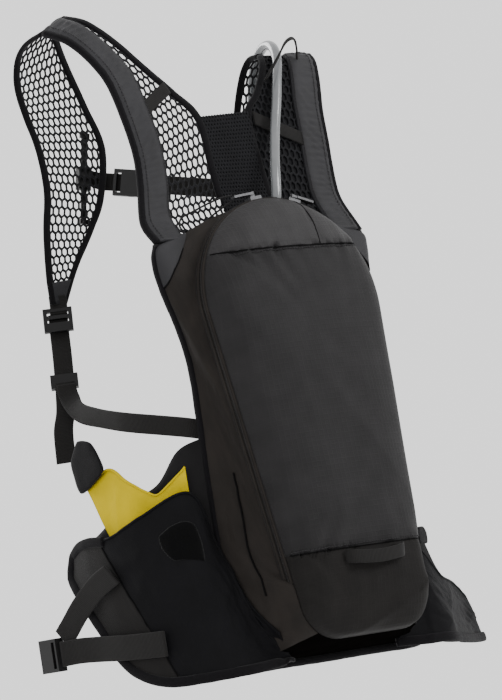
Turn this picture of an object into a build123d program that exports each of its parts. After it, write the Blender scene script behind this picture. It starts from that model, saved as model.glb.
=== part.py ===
from build123d import *
import math
import os

# Hydration pack, in millimetres. The origin is the middle of the lumbar pad's contact face,
# where the pack rests on the wearer's back. +X is the wearer's right, +Y points forward
# into the wearer, and +Z runs up the back panel.

os.makedirs("parts", exist_ok=True)

# ---- Driving dimensions ----
HEM_Z = -58.0               # lower hem of the pack
ARCH_Z = 295.0              # height of the centre of the zip's top arch
ARCH_Y = -47.6              # depth of that centre
ARCH_R = 103.0              # radius of the zip's top arch
SIDE_TAPER = 5.0            # degrees that each straight side of the zip leans in
FRONT_LEAN = 6.84           # degrees that the zip's plane leans from the back panel
FRONT_DROP = 343.0          # from the arch's centre down to the bottom of the front
CORNER_R = 38.0             # rounded lower corners of the bag
SHEET = 2.0                 # thickness of the sewn fabric shells
TAPE_W = 14.0               # width of the zip tape round the bag
SEAM_TOP_Z = 343.0          # seam between front panel and top cap
SEAM_LOW_Z = 40.0           # seam between front panel and lower panel
PANEL_Y = -14.0             # outer face of the back panel
PAD_Y = -8.0                # back panel face that carries the pads
TUBE_OD = 10.4              # drink tube
TUBE_X = 15.5               # where the tube leaves the bag, beside the middle
WEB = 20.0                  # width of the shoulder webbing
WEB_T = 1.8                 # thickness of webbing
HIP_WEB = 25.0              # width of the hip webbing
SLIDER_GAP = 0.6            # slider's clearance over the tape
STERNUM_LEAN = 11.0         # degrees that the sternum rails lean from upright

nodes = {}


def keep(name, shape):
    """Store a finished node under its name."""
    nodes[name] = shape


def block(x, y, z):
    """A box between two limits on each axis."""
    size = (x[1] - x[0], y[1] - y[0], z[1] - z[0])
    middle = ((x[0] + x[1]) / 2, (y[0] + y[1]) / 2, (z[0] + z[1]) / 2)
    return Pos(*middle) * Box(*size)


def both_sides(name, shape):
    """Keep a left piece and its mirror image on the right."""
    keep(name + "_left", shape)
    keep(name + "_right", mirror(shape, about=Plane.YZ))


def quad_face(a, b, normal, thick):
    """A strip's cross-section between two edge points, thick along a direction."""
    n = Vector(*normal).normalized() * thick
    pa, pb = Vector(*a), Vector(*b)
    corners = [pa, pb, pb + n, pa + n]
    return Face(Wire([Line(p, q).edge() for p, q in zip(corners, corners[1:] + corners[:1])]))


def ribbon(stations, thick, flip=1.0):
    """A strap through pairs of edge points. Its thickness is square to the strip."""
    sections = []
    count = len(stations)
    for i, (a, b) in enumerate(stations):
        before = stations[max(i - 1, 0)]
        after = stations[min(i + 1, count - 1)]
        start = (Vector(*before[0]) + Vector(*before[1])) * 0.5
        end = (Vector(*after[0]) + Vector(*after[1])) * 0.5
        across = Vector(*b) - Vector(*a)
        normal = across.cross(end - start) * flip
        sections.append(quad_face(a, b, tuple(normal), thick))
    return loft(sections, ruled=True)


def between(stations, low, high):
    """The part of each strap section from one fraction of its width to another."""
    out = []
    for a, b in stations:
        pa, pb = Vector(*a), Vector(*b)
        out.append((tuple(pa + (pb - pa) * low), tuple(pa + (pb - pa) * high)))
    return out


def flip_x(stations):
    """The same stations on the other side of the pack."""
    return [tuple((-x, y, z) for x, y, z in pair) for pair in stations]


# ---- The bag: a lofted shell on the arch's plane ----
lean = math.radians(FRONT_LEAN)
arch_plane = Plane(origin=(0, ARCH_Y, ARCH_Z), x_dir=(1, 0, 0), z_dir=(0, -math.cos(lean), math.sin(lean)))
back_plane = Plane(origin=(0, PANEL_Y, ARCH_Z - 6), x_dir=(1, 0, 0), z_dir=(0, -1, 0))


def arch_outline(plane, radius, taper, drop, bottom, corner):
    """A round-topped outline whose sides run tangent from the arch to rounded corners."""
    a = math.radians(taper)
    shoulder_x, shoulder_y = radius * math.cos(a), -radius * math.sin(a) - drop
    foot_x = shoulder_x - (shoulder_y + bottom) * math.tan(a)
    with BuildSketch(plane) as sketch:
        with BuildLine():
            CenterArc((0, -drop), radius, -taper, 180 + 2 * taper)
            Line((-shoulder_x, shoulder_y), (-foot_x, -bottom))
            Line((-foot_x, -bottom), (foot_x, -bottom))
            Line((foot_x, -bottom), (shoulder_x, shoulder_y))
        make_face()
        fillet(sketch.vertices().sort_by(Axis.Y)[:2], min(corner, 0.8 * foot_x))
    return sketch.sketch.faces()[0]


# height over the arch's plane, inset of the sides, drop of the arch, lift of the bottom
DOME = [(0.0, 0.0, 0.0, 0.0), (13.0, 5.0, 6.0, 4.0), (24.0, 17.0, 24.0, 20.0), (32.0, 40.0, 52.0, 58.0),
        (36.0, 64.0, 84.0, 104.0)]


def dome(inward):
    """The bulging front, from the zip's plane outward. inward makes the cavity under it."""
    faces = []
    for rise, inset, drop, lift in DOME:
        height = rise - inward if rise > 0 else 0.0
        radius = ARCH_R - inset - inward
        bottom = FRONT_DROP - lift - inward
        faces.append(arch_outline(arch_plane.offset(height), radius, SIDE_TAPER, drop, bottom, CORNER_R))
    return loft(faces)


def gusset(inward):
    """The sides of the bag, from the back panel to the zip tape."""
    back = arch_outline(back_plane, ARCH_R - 1 - inward, 0.6, 0, FRONT_DROP - 4 - inward, CORNER_R)
    front = arch_outline(arch_plane.offset(-TAPE_W), ARCH_R - inward, SIDE_TAPER, 0, FRONT_DROP - inward,
                         CORNER_R)
    return loft([back, front], ruled=True)


def tape_ring():
    """The zip tape, a band round the bag's front edge."""
    outer = arch_outline(arch_plane.offset(-TAPE_W), ARCH_R, SIDE_TAPER, 0, FRONT_DROP, CORNER_R)
    inner = arch_outline(arch_plane.offset(-TAPE_W), ARCH_R - SHEET, SIDE_TAPER, 0, FRONT_DROP - SHEET,
                         CORNER_R)
    direction = arch_plane.z_dir
    return extrude(outer, TAPE_W, dir=direction) - extrude(inner, TAPE_W, dir=direction)


WIDE = 400.0


def above(z):
    """A large block over a height, for cutting."""
    return block((-WIDE, WIDE), (-WIDE, WIDE), (z, z + 2 * WIDE))


def below(z):
    """A large block under a height, for cutting."""
    return block((-WIDE, WIDE), (-WIDE, WIDE), (z - 2 * WIDE, z))


def make_bag():
    """Front panel, top cap, lower panel, side panels and zip tape."""
    front = dome(0) - dome(SHEET)
    keep("front_panel", front & block((-WIDE, WIDE), (-WIDE, WIDE), (SEAM_LOW_Z, SEAM_TOP_Z)))
    keep("top_cap", front & above(SEAM_TOP_Z))
    keep("lower_panel", front & below(SEAM_LOW_Z))
    sides = gusset(0) - gusset(SHEET)
    keep("side_panel_left", sides & block((-WIDE, 0), (-WIDE, WIDE), (-WIDE, WIDE * 2)))
    keep("side_panel_right", sides & block((0, WIDE), (-WIDE, WIDE), (-WIDE, WIDE * 2)))
    tube_way = block((TUBE_X - 6.5, TUBE_X + 6.5), (-WIDE, WIDE), (ARCH_Z + 60, WIDE * 2))
    keep("zip_tape", tape_ring() - tube_way)


# ---- Back panel and pads ----
def make_back():
    """The back panel flares out at the top, where the shoulder harness is sewn on."""
    side = [(98, HEM_Z), (107, 20), (109, 120), (107, 225), (113, 270), (127, 318), (131, 345), (129, 362)]
    with BuildSketch(Plane(origin=(0, PAD_Y, 0), x_dir=(1, 0, 0), z_dir=(0, -1, 0))) as outline:
        with BuildLine():
            Spline(side)
            Line((129, 362), (-129, 362))
            Spline([(-x, z) for x, z in reversed(side)])
            Line((-98, HEM_Z), (98, HEM_Z))
        make_face()
    keep("back_panel", extrude(outline.sketch, PAD_Y - PANEL_Y))
    lumbar = fillet(block((-84, 84), (PAD_Y, 0), (-40, 40)).edges().filter_by(Axis.Y), 22)
    keep("lumbar_pad", lumbar)
    tall = fillet(block((16, 94), (PAD_Y, 0), (58, 292)).edges().filter_by(Axis.Y), 22)
    keep("back_pads", Compound(children=[tall.solid(), mirror(tall, about=Plane.YZ).solid()]))
    rim = block((-100, 100), (PANEL_Y - 4, PAD_Y + 1), (HEM_Z - 6, HEM_Z))
    keep("hem_binding", rim)


# ---- Reservoir ----
RES_HALF, RES_LOW, RES_HIGH = 74.0, 10.0, 300.0


def make_reservoir():
    """A water bag on the back panel, in its sleeve, with its clamp and hose port."""
    sack = block((-RES_HALF, RES_HALF), (PANEL_Y - 15.5, PANEL_Y - 1.5), (RES_LOW, RES_HIGH))
    keep("reservoir_bag", fillet(sack.edges(), 6))
    clamp = block((-78, 78), (PANEL_Y - 13, PANEL_Y - 4), (RES_HIGH, RES_HIGH + 12))
    keep("reservoir_clamp", fillet(clamp.edges().filter_by(Axis.Z), 3))
    sleeve = block((-76, 76), (PANEL_Y - 17.5, PANEL_Y - 16), (RES_LOW - 12, 230))
    port_y = PANEL_Y - 15.5
    port_z = TUBE_START[2]
    port_hole = Pos(0, port_y, port_z - 7) * Rot(90, 0, 0) * Cylinder(15, 30)
    keep("reservoir_sleeve", sleeve - port_hole)
    disc = Pos(0, port_y - 2.5, port_z - 7) * Rot(90, 0, 0) * Cylinder(13, 5)
    neck = Pos(0, port_y - 9, port_z - 7) * Rot(90, 0, 0) * Cylinder(5.2, 12)
    spout = Pos(0, TUBE_START[1], port_z - 7) * Cylinder(TUBE_OD / 2, 14)
    keep("hose_port", disc + neck + spout)


# ---- Drink tube: from the reservoir's port, out between the sliders, over the right strap ----
TUBE_START = (0.0, PANEL_Y - 27.0, 52.0)
TUBE_ROUTE = [
    TUBE_START, (0, -41, 90), (4, -42, 138), (9, -41, 190), (10, -39, 245), (10, -35, 298), (12, -30, 346),
    (13, -28.5, 385), (18, -28, 408), (27, -20, 432), (40, -8, 455), (53, 2, 480), (65, 9, 505),
    (76, 17, 530),
    (88, 26, 553), (98, 44, 571), (103, 67, 575), (106, 90, 560), (107, 104, 530), (107, 108, 490),
    (110, 108, 445), (114, 106, 400), (117, 103, 355), (118, 101, 318), (118, 101, 288)]


def make_tube():
    """Straight runs joined by tangent arcs."""
    points = [Vector(*p) for p in TUBE_ROUTE]
    radii = []
    for before, corner, after in zip(points, points[1:], points[2:]):
        shorter = min((corner - before).length, (after - corner).length)
        turn = math.radians((corner - before).get_angle(after - corner))
        radii.append(0.45 * shorter / math.tan(turn / 2))
    path = FilletPolyline(*points, radius=radii)
    print("tube radii", [round(r) for r in radii])
    start = Plane(origin=points[0], z_dir=points[1] - points[0])
    tube = sweep(start * Circle(TUBE_OD / 2), path=path)
    print("tube length", round(path.length, 1), "volume ratio",
          round(tube.volume / (math.pi * (TUBE_OD / 2) ** 2 * path.length), 4))
    keep("drink_tube", tube)


def make_bite_valve():
    """Valve housing, soft mouthpiece and a quarter-turn shut-off lever at the tube's end."""
    x, y, z = TUBE_ROUTE[-1]
    housing = Pos(x, y, z - 14) * Cylinder(8, 28)
    axle_z = z - 14
    lever_bore = Pos(x, y + 8, axle_z) * Rot(90, 0, 0) * Cylinder(3.05, 6)
    keep("valve_body", housing - lever_bore)
    mouth = Pos(x, y, z - 28 - 13) * Cylinder(9, 26)
    keep("bite_valve", fillet(mouth.edges().sort_by(Axis.Z)[:1], 4))
    pin = Pos(x, y + 8.2, axle_z) * Rot(90, 0, 0) * Cylinder(3, 4.4)
    paddle = block((x - 4, x + 4), (y + 10.4, y + 13), (axle_z - 4, axle_z + 15))
    keep("shutoff_lever", pin + paddle)


# ---- Shoulder harness ----
# Pairs of outer edge and neck-side edge, from the back panel up and over the shoulder.
HARNESS_LEFT = [
    ((-129, -11, 362), (-27, -11, 362)), ((-129, 4, 385), (-27, 2, 400)), ((-121, 14, 421), (-27, 10, 440)),
    ((-114, 22, 455), (-27, 20, 492)), ((-112, 34, 492), (-40, 38, 522)), ((-112, 52, 536), (-57, 58, 553)),
    ((-119, 70, 566), (-74, 82, 588)), ((-128, 90, 588), (-89, 102, 611)),
    ((-136, 116, 602), (-99, 122, 621))]
STRAP_LEFT = [
    ((-136, 117, 602.2), (-99, 123, 621.2)), ((-139, 145, 597), (-96, 146, 620)),
    ((-137, 168, 585), (-80, 168, 608)),
    ((-131, 184, 563), (-60, 186, 584)), ((-120, 194, 537), (-38, 197, 545)),
    ((-107, 199, 501), (-20, 202, 500)),
    ((-104, 200, 458), (-32, 201, 447)), ((-114, 197, 416), (-54, 198, 412)),
    ((-123, 191, 370), (-84, 192, 374)),
    ((-126, 187, 338), (-108, 187, 336))]
HARNESS_RIGHT = [
    ((129, -11, 362), (27, -11, 362)), ((121, 3, 395), (27, 2, 400)), ((121, 9, 419), (27, 10, 440)),
    ((125, 15, 463), (29, 20, 492)), ((128, 20, 495), (48, 24, 516)), ((134, 25, 522), (60, 28, 533)),
    ((140, 33, 546), (70, 35, 549)), ((144, 44, 556), (77, 46, 558))]
STRAP_RIGHT = [
    ((144, 45, 556.3), (77, 47, 558.3)), ((146, 66, 556), (80, 68, 558)), ((145, 82, 538), (79, 84, 540)),
    ((142, 88, 500), (70, 90, 500)), ((138, 90, 450), (68, 92, 450)), ((138, 88, 395), (78, 90, 395)),
    ((140, 86, 340), (92, 88, 340)), ((141, 84, 285), (105, 86, 285)), ((139, 82, 240), (118, 84, 240))]
BAND = 0.36                 # share of the harness that is the nylon band


def make_harness():
    """Padded nylon bands, mesh between them, and the front parts of the straps."""
    sides = (("left", HARNESS_LEFT, STRAP_LEFT, 1), ("right", HARNESS_RIGHT, STRAP_RIGHT, -1))
    for side, rear, front, flip in sides:
        keep("harness_band_" + side, ribbon(between(rear, 0, BAND), 6, flip))
        keep("harness_mesh_" + side, ribbon(between(rear, BAND + 0.004, 1), 3, flip))
        keep("strap_front_" + side, ribbon(front, 5, flip))
    yoke = [((-26.5, -11, 362), (26.5, -11, 362)), ((-26.5, 2, 400), (26.5, 2, 400)),
            ((-26.5, 10, 440), (26.5, 10, 440)), ((-26.5, 20, 494), (28, 20, 497))]
    keep("yoke_panel", ribbon(yoke, 4))


WEB_OVER = 3.8              # height of the webbing over a buckle's middle plane


# ---- Plastic hardware, built along X (strap direction), Y (width) and Z (thickness) ----
def female_buckle(web):
    """Side-release housing with its mouth at the local origin, opening towards +X."""
    half = web / 2
    shell = block((-30, 0), (-half - 4, half + 4), (-5, 5))
    mouth = block((-18, 1), (-half - 1, half + 1), (-3, 3))
    web_slot = block((-27, -22), (-half - 0.6, half + 0.6), (-6, 6))
    windows = block((-14, -8), (-half - 5, half + 5), (-2.6, 2.6))
    return shell - mouth - web_slot - windows


def male_buckle(web):
    """Plug with a guide tongue. Its webbing runs in a channel over the base, clear of the tongue."""
    half = web / 2
    base = block((0.5, 15), (-half - 3.5, half + 3.5), (-4.2, 4.2))
    web_way = block((0.3, 16), (-half - 0.6, half + 0.6), (WEB_OVER - 1.2, WEB_OVER + 2))
    tongue = block((-14, 3), (-2, 2), (-2.4, 2.4))
    return (base + tongue) - web_way


def prong(web, side):
    """One squeeze prong beside the tongue. side is +1 or -1 across the width."""
    half = web / 2
    low, high = sorted((side * (half - 5), side * (half - 1)))
    beam = block((-15, 0.2), (low, high), (-2.4, 2.4))
    return fillet(beam.edges().filter_by(Axis.Z).sort_by(Axis.X)[:2], 1.5)


def strap_plane(origin, along, up):
    """A frame whose X runs along the strap and whose Y is nearest to the given up."""
    x = Vector(*along).normalized()
    z = x.cross(Vector(*up)).normalized()
    return Plane(origin=Vector(*origin), x_dir=x, z_dir=z)


# ---- Sternum strap: two rails, two runners, webbing and a buckle ----
rail_lean = math.radians(STERNUM_LEAN)
RAIL_DIR = (math.sin(rail_lean), 0.0, math.cos(rail_lean))
RAIL_LEFT = (-47.0, 208.6, 470.0)      # middle of each rail's inner face
RAIL_RIGHT = (88.0, 98.6, 430.0)
RAIL_HALF, RAIL_W, RAIL_T = 44.0, 6.0, 2.4
RUNNER_W, RUNNER_H = 15.0, 24.0
STERNUM_FROM = (-24.0, 210.0, 466.0)
STERNUM_TO = (83.0, 105.0, 430.0)
STERNUM_MOUTH = 42.0                    # distance of the buckle's mouth along the webbing


def rail_plane(origin):
    """X across the rail, Y forward and Z along the rail."""
    return Plane(origin=Vector(*origin), x_dir=(math.cos(rail_lean), 0, -math.sin(rail_lean)),
                 z_dir=RAIL_DIR)


def make_sternum():
    """Rails on the two straps, runners on the rails, and the buckled strap between them."""
    rails, runners = [], []
    for origin in (RAIL_LEFT, RAIL_RIGHT):
        place = rail_plane(origin)
        bar = block((-RAIL_W / 2, RAIL_W / 2), (1, 1 + RAIL_T), (-RAIL_HALF, RAIL_HALF))
        for end in (-1, 1):
            low, high = sorted((end * RAIL_HALF, end * (RAIL_HALF + 5)))
            bar += block((-5, 5), (-0.6, 4), (low, high))
        rails.append((place * bar).solid())
        body = block((-RUNNER_W / 2, RUNNER_W / 2), (-0.4, 6.4), (-RUNNER_H / 2, RUNNER_H / 2))
        way = block((-RAIL_W / 2 - 0.5, RAIL_W / 2 + 0.5), (0.5, 1.5 + RAIL_T), (-RUNNER_H, RUNNER_H))
        runners.append((place * (body - way)).solid())
    keep("sternum_rails", Compound(children=rails))
    keep("sternum_runners", Compound(children=runners))
    along = Vector(*STERNUM_TO) - Vector(*STERNUM_FROM)
    place = strap_plane(STERNUM_FROM, tuple(along), (0, 0, 1))
    half = WEB / 2
    near = block((0, STERNUM_MOUTH - 24), (-half, half), (-WEB_T / 2, WEB_T / 2))
    root = web_ribbon([(-37.0, 213.4, 471), (-30, 213, 468), (-24.6, 210.6, 466.2)], WEB, (0, 0, 1), WEB_T)
    far = block((STERNUM_MOUTH + 5, along.length - 4), (-half, half),
                (WEB_OVER - WEB_T / 2, WEB_OVER + WEB_T / 2))
    pieces = [root.solid(), (place * near).solid(), (place * far).solid()]
    keep("sternum_webbing", Compound(children=pieces))
    mouth = place * Pos(STERNUM_MOUTH, 0, 0)
    web_entry = block((-40, -22), (-half - 0.4, half + 0.4), (-1.2, 1.2))
    keep("sternum_buckle_female", mouth * (female_buckle(WEB) - web_entry))
    keep("sternum_buckle_male", mouth * male_buckle(WEB))
    keep("sternum_prong_upper", mouth * prong(WEB, 1))
    keep("sternum_prong_lower", mouth * prong(WEB, -1))


# ---- Shoulder strap adjusters ----
ADJUSTERS = {
    "left": {"lock": (-119.0, 190.0, 333.0), "foot": (-137.0, 170.0, 250.0), "across": (0.8, -0.58, 0.0),
             "side": [(-133, 158, 226), (-148, 100, 207), (-147, 60, 198), (-134, 20, 188),
                      (-119, -9, 180)],
             "tail": [(-141, 165, 232), (-151, 164, 204), (-154, 163, 172)]},
    "right": {"lock": (128.0, 86.0, 236.0), "foot": (131.0, 82.0, 158.0), "across": (-1.0, 0.0, 0.0),
              "side": [(131, 72, 146), (131, 50, 156), (126, 20, 168), (119, -9, 176)],
              "tail": [(132, 84, 140), (133, 84, 110), (133, 84, 84)]}}
LOCK_H, LOCK_T = 26.0, 4.0
GLIDE_L = 15.0


def web_ribbon(points, width, up, thick=WEB_T):
    """Webbing along a list of middle points, as wide as given along a direction."""
    half = Vector(*up).normalized() * (width / 2)
    return ribbon([(tuple(Vector(*p) - half), tuple(Vector(*p) + half)) for p in points], thick)


def adjuster_plane(data):
    """Frame at a ladder lock's top bar, X across the webbing, Y up along it."""
    up = (Vector(*data["lock"]) - Vector(*data["foot"])).normalized()
    across = Vector(*data["across"])
    across = (across - up * across.dot(up)).normalized()
    return Plane(origin=Vector(*data["lock"]), x_dir=across, z_dir=across.cross(up))


def make_adjusters():
    """Ladder lock, webbing down to the pack's side, hanging tail and tri-glide on each side."""
    for side, data in ADJUSTERS.items():
        place = adjuster_plane(data)
        frame = block((-WEB / 2 - 5, WEB / 2 + 5), (-LOCK_H, 0), (-LOCK_T / 2, LOCK_T / 2))
        for low in (-8.0, -16.0):
            frame -= block((-WEB / 2 - 1, WEB / 2 + 1), (low, low + 4), (-LOCK_T, LOCK_T))
        keep("ladder_lock_" + side, place * frame)
        drop = (Vector(*data["lock"]) - Vector(*data["foot"])).length
        run = place * block((-WEB / 2, WEB / 2), (-drop, -LOCK_H - 2), (-WEB_T / 2, WEB_T / 2))
        to_pack = web_ribbon(data["side"], WEB, (0, 0, 1))
        tail = web_ribbon(data["tail"], WEB, data["across"])
        keep("adjust_webbing_" + side, Compound(children=[run.solid(), to_pack.solid(), tail.solid()]))
        sleeve = block((-WEB / 2 - 4, WEB / 2 + 4), (-drop - 2, -drop - 2 + GLIDE_L), (-3, 3))
        sleeve -= block((-WEB / 2 - 1, WEB / 2 + 1), (-drop - 3, -drop + GLIDE_L), (-1.5, 1.5))
        keep("tri_glide_" + side, place * sleeve)


# ---- Hip wings, pockets and belt ----
# Lower and upper edge of each wing's wearer side, from the back panel to the wing's tip.
WING_LEFT = [
    ((-110, -8, -56), (-110, -8, 168)), ((-128, 5, -60), (-127, 5, 160)),
    ((-149, 30, -60), (-143, 24, 130)),
    ((-163, 58, -44), (-160, 60, 116)), ((-172, 85, -2), (-168, 90, 96)),
    ((-177, 110, 28), (-170, 116, 84)),
    ((-179, 128, 48), (-172, 134, 72))]
SKIN_LEFT = [
    ((-92, -68, -56), (-104.5, -66, 28)), ((-124, -52, -62), (-128, -46, 72)),
    ((-155, -22, -64), (-156, -16, 111)),
    ((-178, 12, -62), (-176, 18, 100)), ((-190, 50, -44), (-188, 56, 86)), ((-193, 84, -4), (-190, 90, 87)),
    ((-192, 108, 24), (-187, 114, 84)), ((-189, 128, 46), (-183, 134, 73))]
FLOOR_LEFT = [
    ((-115, -14, -56), (-123, -50, -55)), ((-133, -1, -57), (-154, -21, -56)),
    ((-156, 24, -57), (-176, 12, -56)),
    ((-170, 54, -44), (-188, 50, -43)), ((-180, 83, -6), (-191, 84, -4))]
LINING_LEFT = [
    ((-143, -22, 90), (-138.5, -18, 134)), ((-156, -4, 88), (-152, 0, 126)),
    ((-165, 8, 84), (-161, 10, 124)),
    ((-177, 28, 78), (-171, 31, 136)), ((-183, 60, 70), (-171, 66, 153)),
    ((-179, 80, 76), (-173, 104, 139))]
WING_RIGHT = [
    ((110, -8, -56), (110, -8, 120)), ((140, -3, -62), (138, -2, 66)), ((172, 12, -66), (170, 14, 16)),
    ((205, 28, -68), (203, 30, -12)), ((238, 44, -68), (234, 46, -40))]
SKIN_RIGHT = [
    ((92, -68, -56), (104.5, -66, 28)), ((124, -54, -60), (126, -46, 12)), ((155, -34, -65), (151, -26, 0)),
    ((188, -8, -67), (182, -2, -7)), ((217, 16, -68), (212, 20, -21)), ((242, 34, -68), (238, 37, -46))]
FLOOR_RIGHT = [
    ((115, -17, -56), (123, -51, -58)), ((143, -13, -61), (154, -31, -63)), ((176, 2, -64), (187, -6, -65)),
    ((208, 18, -66), (215, 16, -66))]
LINING_RIGHT = [
    ((134, -14, -20), (133, -14, 34)), ((152, -8, -30), (151, -8, 16)), ((178, 5, -40), (176, 5, -4))]
WING_T, SKIN_T = 7.0, 2.0
FLAPS = {"left": (-178.0, 92.0, 144.0), "right": (138.0, -20.5, 36.0)}
FLAP_LEFT_SIZE, FLAP_RIGHT_SIZE = (3.0, 40.0, 38.0), (3.0, 24.0, 18.0)
HIP_WEB_LEFT = [
    (-184, 10, -29), (-196, 50, -24), (-200, 84, -19), (-207, 108, -17.5), (-215, 128, -18)]
HIP_TOP_LEFT = [(-197, 64, 50), (-200, 84, 38), (-203, 104, 25), (-208, 118, 10), (-212, 127, 0)]
HIP_WEB_RIGHT = [
    (240, 50, -52), (246, 68, -50), (240, 88, -48), (222, 101, -46), (200, 107, -45.5), (150, 112, -45)]
HIP_FEMALE_AT = (-215.0, 131.0, -18.0)
HIP_FEMALE_ALONG = (0.0, 1.0, 0.0)


def make_hips():
    """Padded wings with stretch pockets, their linings and flaps, and the belt's two halves."""
    for side, wing, skin, floor, lining, flip in (
            ("left", WING_LEFT, SKIN_LEFT, FLOOR_LEFT, LINING_LEFT, 1),
            ("right", WING_RIGHT, SKIN_RIGHT, FLOOR_RIGHT, LINING_RIGHT, -1)):
        keep("hip_wing_" + side, ribbon(wing, WING_T, flip))
        wall = ribbon(skin, SKIN_T, flip).solid()
        bottom = ribbon(floor, 1.5, flip).solid()
        keep("hip_pocket_" + side, Compound(children=[wall, bottom]))
        keep("pocket_lining_" + side, ribbon(lining, 1.2, flip))
    x, y, z = FLAPS["left"]
    thick, wide, tall = FLAP_LEFT_SIZE
    keep("pocket_flap_left", block((x, x + thick), (y - wide / 2, y + wide / 2), (z, z + tall)))
    x, y, z = FLAPS["right"]
    thick, wide, tall = FLAP_RIGHT_SIZE
    turned = Pos(x, y, z) * Rot(0, 0, -60) * block((-thick / 2, thick / 2), (-wide / 2, wide / 2),
                                                   (0, tall))
    keep("pocket_flap_right", turned)
    low = web_ribbon(HIP_WEB_LEFT, HIP_WEB, (0, 0, 1)).solid()
    high = web_ribbon(HIP_TOP_LEFT, HIP_WEB, (0.1, 0.7, 0.5)).solid()
    keep("hip_webbing_left", Compound(children=[low, high]))
    keep("hip_webbing_right", web_ribbon(HIP_WEB_RIGHT, HIP_WEB, (0, 0, 1)))
    place = strap_plane(HIP_FEMALE_AT, HIP_FEMALE_ALONG, (0, 0, 1)) * Pos(31, 0, 0)
    keep("hip_buckle_female", place * female_buckle(HIP_WEB))
    place = hip_male_plane()
    keep("hip_buckle_male", place * male_buckle(HIP_WEB))
    keep("hip_prong_upper", place * prong(HIP_WEB, 1))
    keep("hip_prong_lower", place * prong(HIP_WEB, -1))


def hip_male_plane():
    """The male half sits near the end of the right webbing and points along -X."""
    end, before = Vector(*HIP_WEB_RIGHT[-1]), Vector(*HIP_WEB_RIGHT[-2])
    along = before - end
    centre = end - along.normalized() * 3.5 + Vector(0, WEB_OVER - WEB_T / 2, 0)
    return strap_plane(tuple(centre), tuple(along), (0, 0, 1))


# ---- Zip sliders and pulls, loops ----
SLIDERS = {"left": 97.0, "right": 71.0}      # angle of each slider round the arch
PULL_PIVOT_R = ARCH_R + SLIDER_GAP + 8.0


def on_arch(angle, radius, depth=-7.0):
    """A place on the arch, Y pointing outward from its centre."""
    return arch_plane * Rot(0, 0, angle - 90) * Pos(0, radius, depth)


def make_zip():
    """Two sliders on the tape, each with a pull that swings on the slider's bail."""
    for side, angle in SLIDERS.items():
        outward = 1 if side == "right" else -1
        body = block((-7, 7), (SLIDER_GAP, SLIDER_GAP + 4), (-5, 5))
        body += block((-2.5, 2.5), (SLIDER_GAP + 4, SLIDER_GAP + 9.6), (-1, 1))
        body -= Pos(0, SLIDER_GAP + 8.0, 0) * Cylinder(0.9, 4)
        keep("zip_slider_" + side, on_arch(angle, ARCH_R) * body)
        link = Cylinder(0.8, 4)
        ears = block((-1.6, 1.6), (-1.6, 1.6), (1.2, 2.2)) + block((-1.6, 1.6), (-1.6, 1.6), (-2.2, -1.2))
        ears += link
        low, high = sorted((outward * 1.4, outward * 24))
        arms = block(sorted((outward * 1.4, outward * 4.6)), (-1.2, 1.2), (-2.2, 2.2))
        arms -= block(sorted((outward * 1.0, outward * 3.6)), (-2, 2), (-1.2, 1.2))
        tab = block(sorted((outward * 4.6, outward * 24)), (-1.2, 1.2), (-3, 3))
        keep("zip_pull_" + side, on_arch(angle, PULL_PIVOT_R) * (ears + arms + tab))


def make_loops():
    """Light loop low on the front, and the elastic keeper that holds the tube to the strap."""
    face_y = -115.6
    arch = [(-36, face_y, 34), (-27, face_y - 7, 33), (0, face_y - 9, 32), (27, face_y - 7, 33),
            (36, face_y, 34)]
    keep("light_loop", web_ribbon(arch, WEB, (0, -0.1, 1), 2))
    keeper = [(60, 12, 530), (72, 6, 552), (84, 4, 570), (98, 8, 574), (112, 18, 566)]
    keep("tube_keeper", web_ribbon(keeper, 8, (0.2, 1, 0.1), 1.5))


for step in (make_bag, make_back, make_reservoir, make_tube, make_bite_valve, make_harness, make_sternum,
             make_adjusters, make_hips, make_zip, make_loops):
    step()

for name, shape in nodes.items():
    export_step(shape, "parts/" + name + ".step")
print(len(nodes), "nodes")
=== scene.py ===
import math
import bmesh
import bpy
from mathutils import Matrix, Vector, noise
from mathutils.bvhtree import BVHTree


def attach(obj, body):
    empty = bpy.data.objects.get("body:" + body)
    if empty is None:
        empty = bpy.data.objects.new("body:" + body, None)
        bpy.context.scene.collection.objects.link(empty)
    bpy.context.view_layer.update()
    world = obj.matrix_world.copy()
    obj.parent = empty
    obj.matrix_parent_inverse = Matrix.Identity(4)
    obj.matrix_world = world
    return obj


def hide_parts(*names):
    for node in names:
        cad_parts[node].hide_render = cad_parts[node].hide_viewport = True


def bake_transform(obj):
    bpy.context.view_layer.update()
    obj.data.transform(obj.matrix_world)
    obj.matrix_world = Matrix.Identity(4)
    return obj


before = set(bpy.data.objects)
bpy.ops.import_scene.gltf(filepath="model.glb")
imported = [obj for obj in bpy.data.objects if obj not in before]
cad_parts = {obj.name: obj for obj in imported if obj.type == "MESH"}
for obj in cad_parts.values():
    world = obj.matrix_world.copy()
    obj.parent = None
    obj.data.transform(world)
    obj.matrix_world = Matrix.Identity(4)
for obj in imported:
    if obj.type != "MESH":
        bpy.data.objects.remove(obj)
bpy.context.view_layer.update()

# A worn hydration pack. Shapes are laid out in millimetres in the CAD's frame and
# scaled to metres when their mesh is made.
MM = 0.001

# ---- Driving dimensions, as in the CAD ----
HEM_Z = -58.0
ARCH_Z, ARCH_Y, ARCH_R = 295.0, -47.6, 103.0
SIDE_TAPER, FRONT_LEAN = math.radians(5.0), math.radians(6.84)
FRONT_DROP, CORNER_R = 343.0, 38.0
TAPE_W = 14.0
SEAM_TOP_Z, SEAM_LOW_Z = 343.0, 40.0
ZIP_END_Z = 13.0
TUBE_OD = 10.4
WEB, WEB_T, HIP_WEB = 20.0, 1.8, 25.0
BAND_W = 36.0
BIND_W, BIND_T = 8.0, 4.6
STITCH, THREAD_R = 2.4, 0.45

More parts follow.
